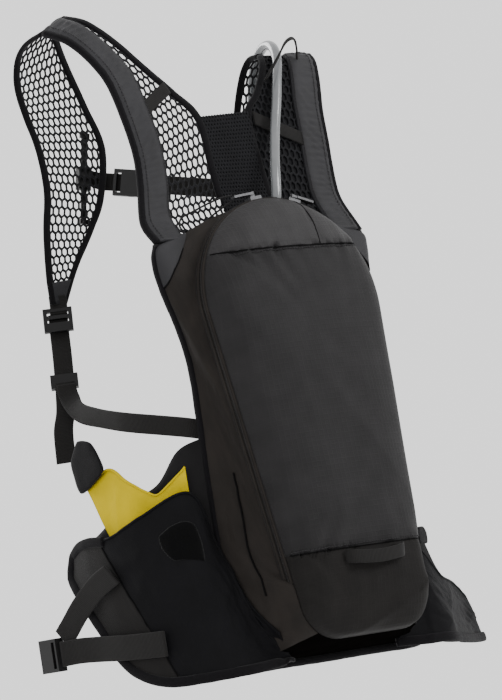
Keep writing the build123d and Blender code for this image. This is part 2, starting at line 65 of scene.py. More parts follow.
ARCH_UP = Vector((0, math.sin(FRONT_LEAN), math.cos(FRONT_LEAN)))
ARCH_OUT = Vector((0, -math.cos(FRONT_LEAN), math.sin(FRONT_LEAN)))
ARCH_MID = Vector((0, ARCH_Y, ARCH_Z))


# ---- Small maths ----
def lerp(a, b, t):
    return a + (b - a) * t


def smooth(t):
    """A gentle step from 0 to 1."""
    t = min(1.0, max(0.0, t))
    return t * t * (3 - 2 * t)


def bump(x, width):
    """A soft hill of height 1 at x = 0."""
    return math.exp(-(x / width) ** 2)


def catmull(points, t):
    """A smooth curve through points, with t from 0 to 1 over the whole list."""
    n = len(points) - 1
    f = min(max(t, 0.0), 1.0) * n
    i = min(int(f), n - 1)
    u = f - i
    p1, p2 = points[i], points[i + 1]
    p0 = points[i - 1] if i > 0 else p1 * 2 - p2
    p3 = points[i + 2] if i + 2 <= n else p2 * 2 - p1
    return 0.5 * (2 * p1 + (p2 - p0) * u + (2 * p0 - 5 * p1 + 4 * p2 - p3) * u * u
                  + (3 * p1 - p0 - 3 * p2 + p3) * u ** 3)


def wobble(p, size, seed):
    """Smooth noise from about -1 to 1, with features of a size in millimetres."""
    return noise.noise(Vector((p[0], p[1], p[2])) / size + Vector((seed, seed * 1.7, -seed)))


def ridged(value):
    """A sharp fold line: 1 on the crest and 0 away from it."""
    return (1 - abs(math.sin(value))) ** 2


# ---- Meshes ----
def quads(rows, n, closed=True, base=0):
    """Faces between neighbouring rows of n points. closed joins each row's two ends."""
    faces = []
    for j in range(rows - 1):
        for i in range(n if closed else n - 1):
            a, b = base + j * n + i, base + j * n + (i + 1) % n
            faces.append((a, b, b + n, a + n))
    return faces


def sweep_faces(rows, n, base=0):
    """Faces round a swept loop of n points, with its two ends closed."""
    last = base + (rows - 1) * n
    ends = [tuple(reversed(range(base, base + n))), tuple(range(last, last + n))]
    return quads(rows, n, True, base) + ends


def heading(points, i):
    """The way a line of points runs at one of them."""
    return points[min(i + 1, len(points) - 1)] - points[max(i - 1, 0)]


def shade_smooth(mesh):
    mesh.polygons.foreach_set("use_smooth", [True] * len(mesh.polygons))


def place_object(name, data):
    """A new object in the scene."""
    obj = bpy.data.objects.new(name, data)
    bpy.context.scene.collection.objects.link(obj)
    return obj


def mesh_piece(name, verts, faces, body, material, slot, replaces=(), uvs=None):
    """A mesh in millimetres becomes a piece on a body, or on none yet where it will be blended."""
    mesh = bpy.data.meshes.new(name)
    mesh.from_pydata([Vector(v) * MM for v in verts], [], faces)
    mesh.validate()
    if uvs is not None:
        layer = mesh.uv_layers.new(name="UVMap")
        for loop in mesh.loops:
            u, v = uvs[loop.vertex_index]
            layer.data[loop.index].uv = (u * MM, v * MM)
    shade_smooth(mesh)
    mesh.materials.append(material)
    obj = place_object(name, mesh)
    if body:
        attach(obj, body)
    if replaces:
        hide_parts(*replaces)
    return obj


def solidify(obj, thick, offset=0.0):
    """Gives a sheet its thickness, in millimetres."""
    mod = obj.modifiers.new("thickness", "SOLIDIFY")
    mod.thickness = thick * MM
    mod.offset = offset
    mod.use_even_offset = False


def grid_piece(name, nu, nv, point, material, slot, replaces=(), thick=0.0, closed=False):
    """A sheet from point(u, v), with u and v from 0 to 1. closed makes it a loop with closed ends."""
    cols = nu if closed else nu + 1
    verts = [point(i / nu, j / nv) for j in range(nv + 1) for i in range(cols)]
    faces = sweep_faces(nv + 1, cols) if closed else quads(nv + 1, cols, False)
    uvs = []
    run_v = [0.0] * cols
    for j in range(nv + 1):
        run_u = 0.0
        for i in range(cols):
            here = Vector(verts[j * cols + i])
            if i:
                run_u += (here - Vector(verts[j * cols + i - 1])).length
            if j:
                run_v[i] += (here - Vector(verts[(j - 1) * cols + i])).length
            uvs.append((run_u, run_v[cols // 2] if j else 0.0))
    obj = mesh_piece(name, verts, faces, "root", material, slot, replaces, uvs)
    if thick:
        solidify(obj, thick)
    return obj


def tube_piece(name, points, across, normal, profile, body, material, slot, replaces=()):
    """Sweeps a closed profile of (across, normal) offsets along points with their own directions."""
    verts, uvs, run = [], [], 0.0
    for k, p in enumerate(points):
        if k:
            run += (Vector(p) - Vector(points[k - 1])).length
        for x, y in profile:
            verts.append(Vector(p) + across[k] * x + normal[k] * y)
            uvs.append((x + y, run))
    faces = sweep_faces(len(points), len(profile))
    return mesh_piece(name, verts, faces, body, material, slot, replaces, uvs)


def oval(half_w, half_t, count=14, power=2.6):
    """A rounded flat profile."""
    def blunt(value):
        return math.copysign(abs(value) ** (2 / power), value)

    turns = [2 * math.pi * i / count for i in range(count)]
    return [(half_w * blunt(math.cos(a)), half_t * blunt(math.sin(a))) for a in turns]


class Strap:
    """A curved strip between two edges, measured in millimetres along and across."""

    STEPS = 400

    def __init__(self, stations, flip=1.0):
        self.a = [Vector(p[0]) for p in stations]
        self.b = [Vector(p[1]) for p in stations]
        self.flip = flip
        self.table = [0.0]
        last = self.middle(0.0)
        for i in range(1, self.STEPS + 1):
            here = self.middle(i / self.STEPS)
            self.table.append(self.table[-1] + (here - last).length)
            last = here
        self.length = self.table[-1]

    def middle(self, t):
        return (catmull(self.a, t) + catmull(self.b, t)) * 0.5

    def at(self, s):
        """Curve parameter for a distance along the strip."""
        low, high = 0, self.STEPS
        while high - low > 1:
            mid = (low + high) // 2
            if self.table[mid] <= s:
                low = mid
            else:
                high = mid
        span = self.table[high] - self.table[low]
        return (low + (s - self.table[low]) / span) / self.STEPS if span else 0.0

    def reach(self, t):
        """Distance along the strip at curve parameter t."""
        return self.table[int(round(self.STEPS * t))]

    def width(self, s):
        t = self.at(s)
        return (catmull(self.b, t) - catmull(self.a, t)).length

    def frame(self, s):
        """Both edges' points, the strip's normal and its direction, at a distance along it."""
        t = self.at(s)
        a, b = catmull(self.a, t), catmull(self.b, t)
        step = 0.004
        along = self.middle(min(1, t + step)) - self.middle(max(0, t - step))
        normal = (b - a).cross(along).normalized() * self.flip
        return a, b, normal, along.normalized()

    def point(self, s, x, lift=0.0):
        """A point at s along and x across from edge a, both in millimetres."""
        a, b, normal, _ = self.frame(s)
        w = (b - a).length
        return a + (b - a) * (x / w if w else 0.0) + normal * lift


def slab(name, strap, low, width, thick, lift, material, replaces=(), s0=0.0, nx=12, step=4.0, bulge=None):
    """A padded strip from x = low to width(s), with rounded sides. bulge(s, x) raises its outer side."""
    rows = max(2, int((strap.length - s0) / step))
    loop = [(i / nx, 1) for i in range(nx + 1)] + [(1.0, 0.5), (1.0, -0.5)]
    loop += [(1 - i / nx, -1) for i in range(nx + 1)] + [(0.0, -0.5), (0.0, 0.5)]

    def point(u, v):
        s = lerp(s0, strap.length, v)
        f, level = loop[int(round(u * len(loop))) % len(loop)]
        x = lerp(low, width(s), f)
        taper = min(1.0, (min(f, 1 - f) * (width(s) - low) / (thick * 0.9)) ** 0.5) if 0 < f < 1 else 0.0
        half = thick / 2 * (0.35 + 0.65 * taper) * level
        extra = bulge(s, x) * taper if bulge and level > 0 else 0.0
        return strap.point(s, x, lift + half + extra)

    return grid_piece(name, len(loop), rows, point, material, "band", replaces, closed=True)


def edge_binding(name, strap, which, thick, lift, s0=0.0):
    """A folded binding over one edge of a strip. which is 0 for edge a and 1 for edge b."""
    count = max(2, int((strap.length - s0) / 4.0))
    points, across, normal = [], [], []
    for i in range(count + 1):
        s = lerp(s0, strap.length, i / count)
        a, b, n, _ = strap.frame(s)
        side = (b - a).normalized()
        base = strap.point(s, strap.width(s) if which else 0.0, lift)
        inward = -side if which else side
        points.append(base + inward * (BIND_W / 2 - 0.8) + n * (0.25 * wobble(base, 9, 3)))
        across.append(side)
        normal.append(n)
    return tube_piece(name, points, across, normal, oval(BIND_W / 2, thick / 2), "root", BINDING, "webbing")


def hex_sheet(name, strap, low, width, material, node, pitch=7.0, hole=0.76, thick=1.4, lift=2.0, stretch=1.5):
    """Open hexagonal mesh as real geometry, from x = low to width(s) across a strip."""
    radius = pitch / math.sqrt(3)
    row_step = 1.5 * radius * stretch
    verts, faces, uvs, seen = [], [], [], {}

    def on_strap(s, x):
        return strap.point(min(max(s, 0.0), strap.length), x, lift)

    def add(s, x):
        key = (round(s, 2), round(x, 2))
        if key not in seen:
            seen[key] = len(verts)
            verts.append(on_strap(s, x))
            uvs.append((x, s))
        return seen[key]

    for r in range(int(strap.length / row_step) + 1):
        sc = r * row_step
        high = width(sc)
        for c in range(int(math.floor(low / pitch)) - 1, int(high / pitch) + 2):
            xc = (c + 0.5 * (r % 2)) * pitch
            if xc < low - pitch * 0.35 or xc > high + pitch * 0.35:
                continue
            outer, inner = [], []
            for k in range(6):
                a = math.pi / 3 * k + math.pi / 6
                dx, ds = math.cos(a) * radius, math.sin(a) * radius * stretch
                outer.append(add(sc + ds, min(max(xc + dx, low), high)))
                ix = min(max(xc + dx * hole, low), high)
                inner.append(len(verts))
                verts.append(on_strap(sc + ds * hole, ix))
                uvs.append((ix, sc + ds * hole))
            for k in range(6):
                m = (k + 1) % 6
                quad = (outer[k], outer[m], inner[m], inner[k])
                if len(set(quad)) == 4:
                    faces.append(quad)
    solidify(mesh_piece(name, verts, faces, "root", material, "mesh", (node,), uvs), thick)


def stitches(name, points, normals, pitch, slot="webbing"):
    """A row of short thread stitches that lie on a surface along points."""
    verts, faces = [], []
    carried = 0.0
    for k in range(len(points) - 1):
        a, b = Vector(points[k]), Vector(points[k + 1])
        run = (b - a).length
        if run == 0:
            continue
        d = (b - a) / run
        at = -carried
        while at + pitch <= run:
            at += pitch
            centre = a + d * at
            n = Vector(normals[k]).normalized()
            side = d.cross(n).normalized()
            base = len(verts)
            for end in (-1, -0.6, 0.6, 1):
                middle = centre + d * (end * STITCH / 2)
                rise = THREAD_R * (0.2 if abs(end) == 1 else 0.9)
                for sx, sn in ((-1, 0), (0, 1), (1, 0), (0, -1)):
                    verts.append(middle + side * (sx * THREAD_R) + n * (rise + sn * THREAD_R * 0.6))
            faces += sweep_faces(4, 4, base)
        carried = run - at
    mesh_piece(name, verts, faces, "root", THREAD, slot)


# ---- Materials ----
def shader(name, color, rough, spec=0.3, metal=0.0, sheen=0.0, coat=0.0, transmission=0.0):
    """A Principled material with its constants set on the shader's own sockets."""
    mat = bpy.data.materials.new(name)
    mat.use_nodes = True
    node = mat.node_tree.nodes["Principled BSDF"]
    for socket, value in (("Base Color", (*color, 1)), ("Roughness", rough), ("Specular IOR Level", spec),
                          ("Metallic", metal), ("Sheen Weight", sheen), ("Sheen Roughness", 0.45),
                          ("Coat Weight", coat), ("Transmission Weight", transmission), ("IOR", 1.45)):
        node.inputs[socket].default_value = value
    return mat, mat.node_tree, node


def math_node(tree, kind, a, b=None):
    """A Math node with sockets or numbers as inputs."""
    node = tree.nodes.new("ShaderNodeMath")
    node.operation = kind
    for i, value in enumerate((a, b)):
        if value is None:
            continue
        if isinstance(value, (int, float)):
            node.inputs[i].default_value = value
        else:
            tree.links.new(value, node.inputs[i])
    return node.outputs[0]


def weighted(tree, a, share_a, b, share_b):
    """A sum of two values, each with its own share."""
    return math_node(tree, "ADD", math_node(tree, "MULTIPLY", a, share_a), math_node(tree, "MULTIPLY", b, share_b))


def coords(tree, kind="UV"):
    """Separated texture coordinates, in metres."""
    tex = tree.nodes.new("ShaderNodeTexCoord")
    split = tree.nodes.new("ShaderNodeSeparateXYZ")
    tree.links.new(tex.outputs[kind], split.inputs[0])
    return tex.outputs[kind], split.outputs


def wave(tree, coord, period_mm):
    """A sine of one coordinate, from 0 to 1."""
    turn = math_node(tree, "MULTIPLY", coord, 2 * math.pi / (period_mm * MM))
    return math_node(tree, "ADD", math_node(tree, "MULTIPLY", math_node(tree, "SINE", turn), 0.5), 0.5)


def noise_out(tree, vector, size_mm, detail=4.0, rough=0.55):
    """Noise with features of a size in millimetres."""
    node = tree.nodes.new("ShaderNodeTexNoise")
    node.inputs["Scale"].default_value = 1.0 / (size_mm * MM)
    node.inputs["Detail"].default_value = detail
    node.inputs["Roughness"].default_value = rough
    tree.links.new(vector, node.inputs["Vector"])
    return node.outputs["Fac"]


def vary(tree, node, fac, dark, light):
    """Colour varies between two tones with a 0 to 1 value."""
    ramp = tree.nodes.new("ShaderNodeValToRGB")
    for stop, place, color in zip(ramp.color_ramp.elements, (0.3, 0.7), (dark, light)):
        stop.position = place
        stop.color = (*color, 1)
    tree.links.new(fac, ramp.inputs["Fac"])
    tree.links.new(ramp.outputs["Color"], node.inputs["Base Color"])


def relief(tree, node, height, depth_mm):
    """Bump from a height value."""
    b = tree.nodes.new("ShaderNodeBump")
    b.inputs["Strength"].default_value = 1.0
    b.inputs["Distance"].default_value = depth_mm * MM
    tree.links.new(height, b.inputs["Height"])
    tree.links.new(b.outputs["Normal"], node.inputs["Normal"])


def tone(color, factor):
    return tuple(c * factor for c in color)


def woven(name, color, thread_mm, ripstop_mm, rough, sheen, spec, depth=0.12, kind="UV", spread=0.25):
    """Woven cloth: crossing threads, an optional ripstop grid, and faint cloudy variation."""
    mat, tree, node = shader(name, color, rough, spec, sheen=sheen)
    vector, axis = coords(tree, kind)
    height = math_node(tree, "MULTIPLY", wave(tree, axis[0], thread_mm), wave(tree, axis[1], thread_mm))
    cloud = noise_out(tree, vector, 30)
    if ripstop_mm:
        line_u = math_node(tree, "POWER", wave(tree, axis[0], ripstop_mm), 14.0)
        line_v = math_node(tree, "POWER", wave(tree, axis[1], ripstop_mm), 14.0)
        cords = math_node(tree, "MAXIMUM", line_u, line_v)
        height = weighted(tree, height, 0.4, cords, 0.9)
        cloud = weighted(tree, cloud, 0.85, cords, 0.07)
    vary(tree, node, cloud, tone(color, 1 - spread), tone(color, 1 + spread))
    relief(tree, node, height, depth)
    return mat


def ribbed(name, color, rib_mm):
    """Webbing: ribs along the strap crossed by a herringbone of fine threads."""
    mat, tree, node = shader(name, color, 0.7, 0.2, sheen=0.03)
    vector, axis = coords(tree)
    ribs = wave(tree, axis[1], rib_mm)
    skew = math_node(tree, "ADD", axis[0], math_node(tree, "MULTIPLY", axis[1], 0.6))
    thread = wave(tree, skew, 1.1)
    height = weighted(tree, ribs, 0.7, thread, 0.3)
    shade = weighted(tree, height, 0.5, noise_out(tree, vector, 12), 0.5)
    vary(tree, node, shade, tone(color, 0.6), tone(color, 1.45))
    relief(tree, node, height, 0.35)
    return mat


def grained(name, color, rough, spec, grain, depth, tones, cloud_mm=0, **extra):
    """A solid material with a fine grain. Its tone follows the grain, or broader clouds."""
    mat, tree, node = shader(name, color, rough, spec, **extra)
    vector, _ = coords(tree, "Object")
    fine = noise_out(tree, vector, *grain)
    shade = noise_out(tree, vector, cloud_mm) if cloud_mm else fine
    vary(tree, node, shade, tone(color, tones[0]), tone(color, tones[1]))
    relief(tree, node, fine, depth)
    return mat


def fuzzy(name, color, grain_mm=1.2, sheen=0.06, rough=0.95):
    """Brushed binding, loop tape or felt."""
    return grained(name, color, rough, 0.08, (grain_mm, 6.0, 0.7), 0.5, (0.5, 1.7), sheen=sheen)


FRONT = woven("front_ripstop", (0.0090, 0.0084, 0.0088), 0.6, 5.0, rough=0.6, sheen=0.02, spec=0.16, depth=0.16)
# Painted shade: the lower panel is the front's ripstop in a darker tone, to darken the downward-facing panel and its
# bottom rim.
LOWER_SHADED = woven("lower_ripstop_painted_shade", (0.0076, 0.0069, 0.0065), 0.6, 5.0, rough=0.7, sheen=0.0, spec=0.10, depth=0.16)
CAP = woven("cap_nylon", (0.0125, 0.0116, 0.0122), 0.6, 5.0, rough=0.55, sheen=0.03, spec=0.22, depth=0.16)
SIDE = woven("side_nylon", (0.0105, 0.0085, 0.0072), 0.9, 0, rough=0.7, sheen=0.02, spec=0.14)
BAND = woven("band_nylon", (0.0095, 0.0092, 0.0108), 0.8, 0, rough=0.55, sheen=0.03, spec=0.25)
MESH = woven("open_mesh", (0.0040, 0.0040, 0.0050), 0.5, 0, rough=0.75, sheen=0.02, spec=0.15)
YOKE = woven("yoke_mesh", (0.005, 0.005, 0.006), 0.5, 0, rough=0.8, sheen=0.02, spec=0.12)
BORDER = woven("border_nylon", (0.0050, 0.0044, 0.0042), 0.8, 0, rough=0.6, sheen=0.02, spec=0.12)
BINDING = fuzzy("edge_binding_cloth", (0.0035, 0.0032, 0.0038))
LOOP_TAPE = fuzzy("loop_tape", (0.0044, 0.0042, 0.0046), 0.8)
HOOK_TAPE = fuzzy("hook_tape", (0.0006, 0.0006, 0.0007), 1.8)
WEBBING = ribbed("webbing_weave", (0.0030, 0.0025, 0.0022), 1.6)
# Painted shade: a far darker, matte copy of the side cloth for the bag's underside, which faces away from the light.
UNDERSIDE_SHADE = woven("bottom_cloth_painted_shade", (0.0016, 0.0014, 0.0013), 0.6, 0, rough=1.0, sheen=0.0, spec=0.0)
POCKET = woven("stretch_cloth", (0.0018, 0.0017, 0.0023), 0.5, 0, rough=0.6, sheen=0.01, spec=0.09)
LINING = woven("lining_cloth", (0.40, 0.30, 0.0), 0.8, 0, rough=0.7, sheen=0.0, spec=0.04, spread=0.1)
PAD = woven("pad_mesh", (0.009, 0.009, 0.011), 2.4, 0, rough=0.9, sheen=0.05, spec=0.12, depth=0.8, kind="Object")
PANEL = woven("panel_cloth", (0.006, 0.0057, 0.006), 1.0, 0, rough=0.8, sheen=0.02, spec=0.12, kind="Object")
PLASTIC = grained("acetal", (0.0032, 0.0030, 0.0032), 0.42, 0.22, (0.9, 3.0), 0.05, (0.85, 1.2), 14)
METAL = grained("slider_metal", (0.05, 0.05, 0.052), 0.33, 0.5, (1.5, 5.0), 0.03, (0.8, 1.3), metal=0.85)
THREAD = fuzzy("thread", (0.016, 0.015, 0.016), 0.5, 0.05, 0.8)
# Dark tubes laid along seams and folds: partly the seam itself, partly painted shadow in its groove.
SEAM_SHADOW = fuzzy("seam_shadow", (0.0018, 0.0017, 0.0018), 0.6, 0.0, 0.9)
CORD = ribbed("pull_cord", (0.007, 0.0065, 0.007), 1.2)


def tube_material():
    """Translucent hose."""
    mat, tree, node = shader("hose", (0.12, 0.125, 0.13), 0.2, 0.5, transmission=0.25, coat=0.5)
    vector, _ = coords(tree, "Object")
    vary(tree, node, noise_out(tree, vector, 25), (0.105, 0.11, 0.115), (0.145, 0.15, 0.155))
    relief(tree, node, noise_out(tree, vector, 2.0), 0.03)
    return mat


HOSE = tube_material()
SILICONE = grained("silicone", (0.05, 0.055, 0.06), 0.45, 0.5, (3.0,), 0.08, (0.85, 1.15), 10)
FILM = grained("reservoir_film", (0.35, 0.42, 0.48), 0.25, 0.5, (3.0,), 0.08, (0.85, 1.15), 10)


# ---- The bag ----
# stations of the domed front: its rise, inset, drop at the top and lift at the bottom
DOME = [(0.0, 0.0, 0.0, 0.0), (13.0, 5.0, 6.0, 4.0), (24.0, 17.0, 24.0, 20.0), (32.0, 40.0, 52.0, 58.0),
        (36.0, 64.0, 84.0, 104.0)]
DOME_STEPS, DOME_FILL = 26, 9
RIM = [("foot_l", 18), ("corner_l", 10), ("side_l", 60), ("arch", 76), ("side_r", 60), ("corner_r", 10),
       ("foot_r", 18)]


def on_arch(x, v, w):
    """Local place on the arch's plane, in the pack's frame."""
    return ARCH_MID + Vector((x, 0, 0)) + ARCH_UP * v + ARCH_OUT * w


def outline(radius, drop, bottom):
    """Points round the bag's front edge, from the middle of the bottom up the left side and back."""
    a = SIDE_TAPER
    sx, sy = radius * math.cos(a), -radius * math.sin(a) - drop
    foot = sx - (sy + bottom) * math.tan(a)
    r = min(CORNER_R, 0.8 * foot)
    turn = math.pi / 2 - a
    reach = r * math.tan(turn / 2)
    end_x, end_y = foot - reach, -bottom
    mid = Vector((end_x, -bottom + r))
    points = []
    for name, count in RIM:
        for i in range(count):
            t = i / count
            if name == "foot_l":
                points.append((lerp(0, -end_x, t), end_y))
            elif name == "foot_r":
                points.append((lerp(end_x, 0, t), end_y))
            elif name == "corner_l":
                b = -math.pi / 2 - turn * t
                points.append((-mid.x + r * math.cos(b), mid.y + r * math.sin(b)))
            elif name == "corner_r":
                b = -math.pi / 2 + turn * (1 - t)
                points.append((mid.x + r * math.cos(b), mid.y + r * math.sin(b)))
            elif name == "arch":
                b = math.pi + a - (math.pi + 2 * a) * t
                points.append((radius * math.cos(b), -drop + radius * math.sin(b)))
            else:
                f = t if name == "side_l" else 1 - t
                x = lerp(foot + reach * math.sin(a), sx, f)
                y = lerp(-bottom + reach * math.cos(a), sy, f)
                points.append((-x if name == "side_l" else x, y))
    return points


# folds that fan out from a seam: its height, the fold's start and slope, its depth and its length (up is minus)
FOLDS = [(SEAM_TOP_Z, -68, 0.9, 4.8, 26), (SEAM_TOP_Z, -50, 0.55, 3.6, 36), (SEAM_TOP_Z, -24, 0.3, 3.8, 34),
         (SEAM_TOP_Z, 2, 0.1, 3.2, 30), (SEAM_TOP_Z, 58, -0.3, 3.2, 28), (SEAM_LOW_Z, -74, 0.75, 4.4, -30),
         (SEAM_LOW_Z, -50, 0.4, 3.2, -26), (SEAM_LOW_Z, -66, 0.7, 4.8, 26), (SEAM_LOW_Z, -20, -0.5, 3.6, 30)]


def dome_relief(p):
    """Wrinkles, seam puckers and sag on the front, in millimetres outward."""
    x, z = p.x, p.z
    out = 1.1 * wobble((x, 0, z * 0.6), 60, 1) + 0.45 * wobble((x * 1.5, 0, z * 0.4), 22, 2)
    gap = z - SEAM_TOP_Z
    pucker = math.sin(x * 0.33 + 1.3 * wobble((x, 0, z), 25, 5))
    out += pucker * 0.75 * math.exp(-abs(gap) / 13)
    out -= 1.6 * bump(gap, 2.4)
    out += 1.0 * bump(gap - 6, 5)
    out -= 4.0 * bump(x + 72, 10) * bump(gap + 2, 9)
    low = z - SEAM_LOW_Z
    out -= 1.5 * bump(low, 2.4)
    out += 1.3 * math.sin(x * 0.21 + 2 + 1.2 * wobble((x, 0, z), 30, 8)) * math.exp(-abs(low) / 14)
    if z > SEAM_TOP_Z:
        out -= 1.2 * bump(x - 33, 2.2)
    if z < SEAM_LOW_Z - 5:
        sag = smooth((SEAM_LOW_Z - 5 - z) / 30)
        out += 2.5 * sag
        out += sag * (2.2 * wobble((x * 0.6, 0, z), 34, 7) + 2.8 * ridged(0.035 * (x - 2.2 * z) + 0.6) - 1.0)
    diagonal = ridged(0.021 * (x * 0.9 + z * 0.55) + 0.9)
    out += 1.3 * diagonal * smooth((z + 20) / 60) * smooth((300 - z) / 80)
    for seam, start, slope, depth, length in FOLDS:
        below = seam - z
        if length * below > 0:
            run = abs(below)
            out -= depth * bump(x - start - slope * run, 4.5 + 0.07 * run) * math.exp(-run / abs(length))
    return out


def dome_rows():
    """Rings from the front edge to the middle of the bag's front."""
    rings = []
    table = [Vector(row) for row in DOME]
    for k in range(DOME_STEPS + 1):
        rise, inset, drop, lift = catmull(table, k / DOME_STEPS)
        rings.append([(x, v, rise) for x, v in outline(ARCH_R - inset, drop, FRONT_DROP - lift)])
    last = rings[-1]
    top = max(p[1] for p in last) - 36
    bottom = min(p[1] for p in last) + 24
    for k in range(1, DOME_FILL + 1):
        f = 1 - k / DOME_FILL
        ring = []
        for x, v, w in last:
            axis = min(max(v, bottom), top)
            ring.append((x * f, axis + (v - axis) * f, w + 0.8 * (1 - f)))
        rings.append(ring)
    return rings


def make_front():
    """One moulded cloth front, cut at its seams into three sewn panels."""
    rings = dome_rows()
    verts, uvs = [], []
    for ring in rings:
        for x, v, w in ring:
            p = on_arch(x, v, w)
            verts.append(p + ARCH_OUT * (dome_relief(p) * smooth(w / 8)))
            uvs.append((x, v))
    faces = [quad[::-1] for quad in quads(len(rings), len(rings[0]))]
    # The lower panel's darker ripstop is painted shade; the cloth is the same as the front's.
    panels = (("front_cloth", "front_panel", FRONT, "front_fabric", SEAM_LOW_Z, SEAM_TOP_Z),
              ("cap_cloth", "top_cap", CAP, "cap_fabric", SEAM_TOP_Z, 999),
              ("lower_cloth", "lower_panel", LOWER_SHADED, "front_fabric", -999, SEAM_LOW_Z))
    for name, node, material, slot, low, high in panels:
        obj = mesh_piece(name, verts, faces, "root", material, slot, (node,), uvs)
        keep_between(obj, low, high)
        solidify(obj, 1.2, -1.0)
    make_seams(BVHTree.FromPolygons(verts, faces))


def make_seams(surface):
    """Sewn joins between the front's panels, drawn as dark tubes that are partly the seam and partly painted seam
    shadow, with a row of stitches beside each.
    """
    lines = {"top_seam": [(x, SEAM_TOP_Z) for x in range(-91, 92, 2)],
             "low_seam": [(x, SEAM_LOW_Z) for x in range(-89, 90, 2)],
             "cap_seam": [(31 + 3 * math.sin((z - SEAM_TOP_Z) / 17), z) for z in range(344, 393, 2)]}
    for name, places in lines.items():
        points, normals = [], []
        for x, z in places:
            hit, normal, _, _ = surface.ray_cast(Vector((x, -500, z)), Vector((0, 1, 0)))
            if hit is not None:
                points.append(hit)
                normals.append(normal if normal.y < 0 else -normal)
        sides = [heading(points, i).cross(n).normalized() for i, n in enumerate(normals)]
        raised = [q + n * 0.15 for q, n in zip(points, normals)]
        tube_piece(name, raised, sides, normals, oval(0.6, 0.45, 8), "root", SEAM_SHADOW, "front_fabric")
        if name != "cap_seam":
            shift = -2.6 if name == "top_seam" else 2.6
            row = [q + Vector((0, 0, shift)) + n * 0.9 for q, n in zip(points, normals)]
            stitches(name + "_stitch", row, normals, 3.2, "front_fabric")


def keep_between(obj, low, high):
    """Keeps the part of a mesh between two heights, in millimetres, and joins points that fall together."""
    bm = bmesh.new()
    bm.from_mesh(obj.data)
    for z, up in ((low, False), (high, True)):
        geom = bm.verts[:] + bm.edges[:] + bm.faces[:]
        bmesh.ops.bisect_plane(bm, geom=geom, plane_co=(0, 0, z * MM), plane_no=(0, 0, 1),
                               clear_outer=up, clear_inner=not up)
    bmesh.ops.remove_doubles(bm, verts=bm.verts, dist=0.02 * MM)
    bm.to_mesh(obj.data)
    bm.free()
    shade_smooth(obj.data)


ZIP_PROFILE = [(-14.0, -1.0), (-13.2, 0.9), (-11.0, 1.7), (-8.9, 1.4), (-8.3, 0.2), (-8.1, -0.6),
               (-5.9, -0.6), (-5.7, 0.2), (-5.1, 1.4), (-3.0, 1.7), (-0.8, 0.9), (0.0, -1.0)]
TOOTH_PITCH = 1.7


def rim_run():
    """Points, outward directions and heights round the zip, from low left over the top to low right."""
    rim = [Vector(p) for p in outline(ARCH_R, 0, FRONT_DROP) if on_arch(p[0], p[1], 0).z > ZIP_END_Z]
    out = []
    for i, (x, v) in enumerate(rim):
        tangent = heading(rim, i).normalized()
        out.append((x, v, Vector((-tangent.y, tangent.x))))
    return out


def make_zip():
    """Two stitched flaps either side of a row of interlocked teeth."""
    run = rim_run()
    verts, uvs, length = [], [], 0.0
    for k, (x, v, side) in enumerate(run):
        if k:
            length += math.hypot(x - run[k - 1][0], v - run[k - 1][1])
        for w, lift in ZIP_PROFILE:
            puff = 0.25 * wobble((x, v, w), 16, 4)
            verts.append(on_arch(x + side.x * (lift + puff), v + side.y * (lift + puff), w))
            uvs.append((w, length))
    faces = quads(len(run), len(ZIP_PROFILE), False)
    band = mesh_piece("zip_flaps", verts, faces, "root", SIDE, "webbing", ("zip_tape",), uvs)
    solidify(band, 0.8, -1.0)
    teeth, faces, count = [], [], 0
    at = done = 0.0
    for k in range(len(run) - 1):
        x0, v0, side = run[k]
        x1, v1, _ = run[k + 1]
        seg = math.hypot(x1 - x0, v1 - v0)
        while at <= done + seg:
            f = (at - done) / seg
            x, v = lerp(x0, x1, f), lerp(v0, v1, f)
            d = Vector((x1 - x0, v1 - v0)) / seg
            shift = 0.45 if count % 2 else -0.45
            base = len(teeth)
            for dw in (-0.75, 0.75):
                for ds in (-0.6, 0.6):
                    for lift in (-0.6, 0.9):
                        off = d * ds + side * lift
                        teeth.append(on_arch(x + off.x, v + off.y, -7 + shift + dw))
            for q in ((0, 1, 3, 2), (4, 6, 7, 5), (0, 4, 5, 1), (2, 3, 7, 6), (1, 5, 7, 3), (0, 2, 6, 4)):
                faces.append(tuple(base + c for c in q))
            count += 1
            at += TOOTH_PITCH
        done += seg
    mesh_piece("zip_teeth", teeth, faces, "root", PLASTIC, "slider")
    for name, w in (("zip_stitch_front", -2.6), ("zip_stitch_back", -11.6)):
        points = [on_arch(x + side.x * 1.75, v + side.y * 1.75, w) for x, v, side in run]
        normals = [on_arch(side.x, side.y, 0) - ARCH_MID for x, v, side in run]
        stitches(name, points, normals, 3.6)


PANEL_EDGE = [(-98, -58), (-107, 20), (-109, 120), (-107, 225), (-113, 270), (-127, 318), (-131, 345),
              (-127, 359), (-104, 366), (-70, 380), (-34, 390), (0, 392)]
HEM_LINE = [(-120, -8, -61), (-98, -14, -62), (-50, -15, -61.5), (0, -15, -62), (50, -15, -61.5), (98, -14, -62),
            (120, -8, -61)]
BOTTOM_SHARE = 0.115                    # share of a side panel's height that closes the bag's bottom
SIDE_COLS, SHADED_UNDER_ROWS = 26, 17
FOOT_LOW, FOOT_HIGH = 0.517, 0.785      # the ends of the harness band's foot, as shares of the same height


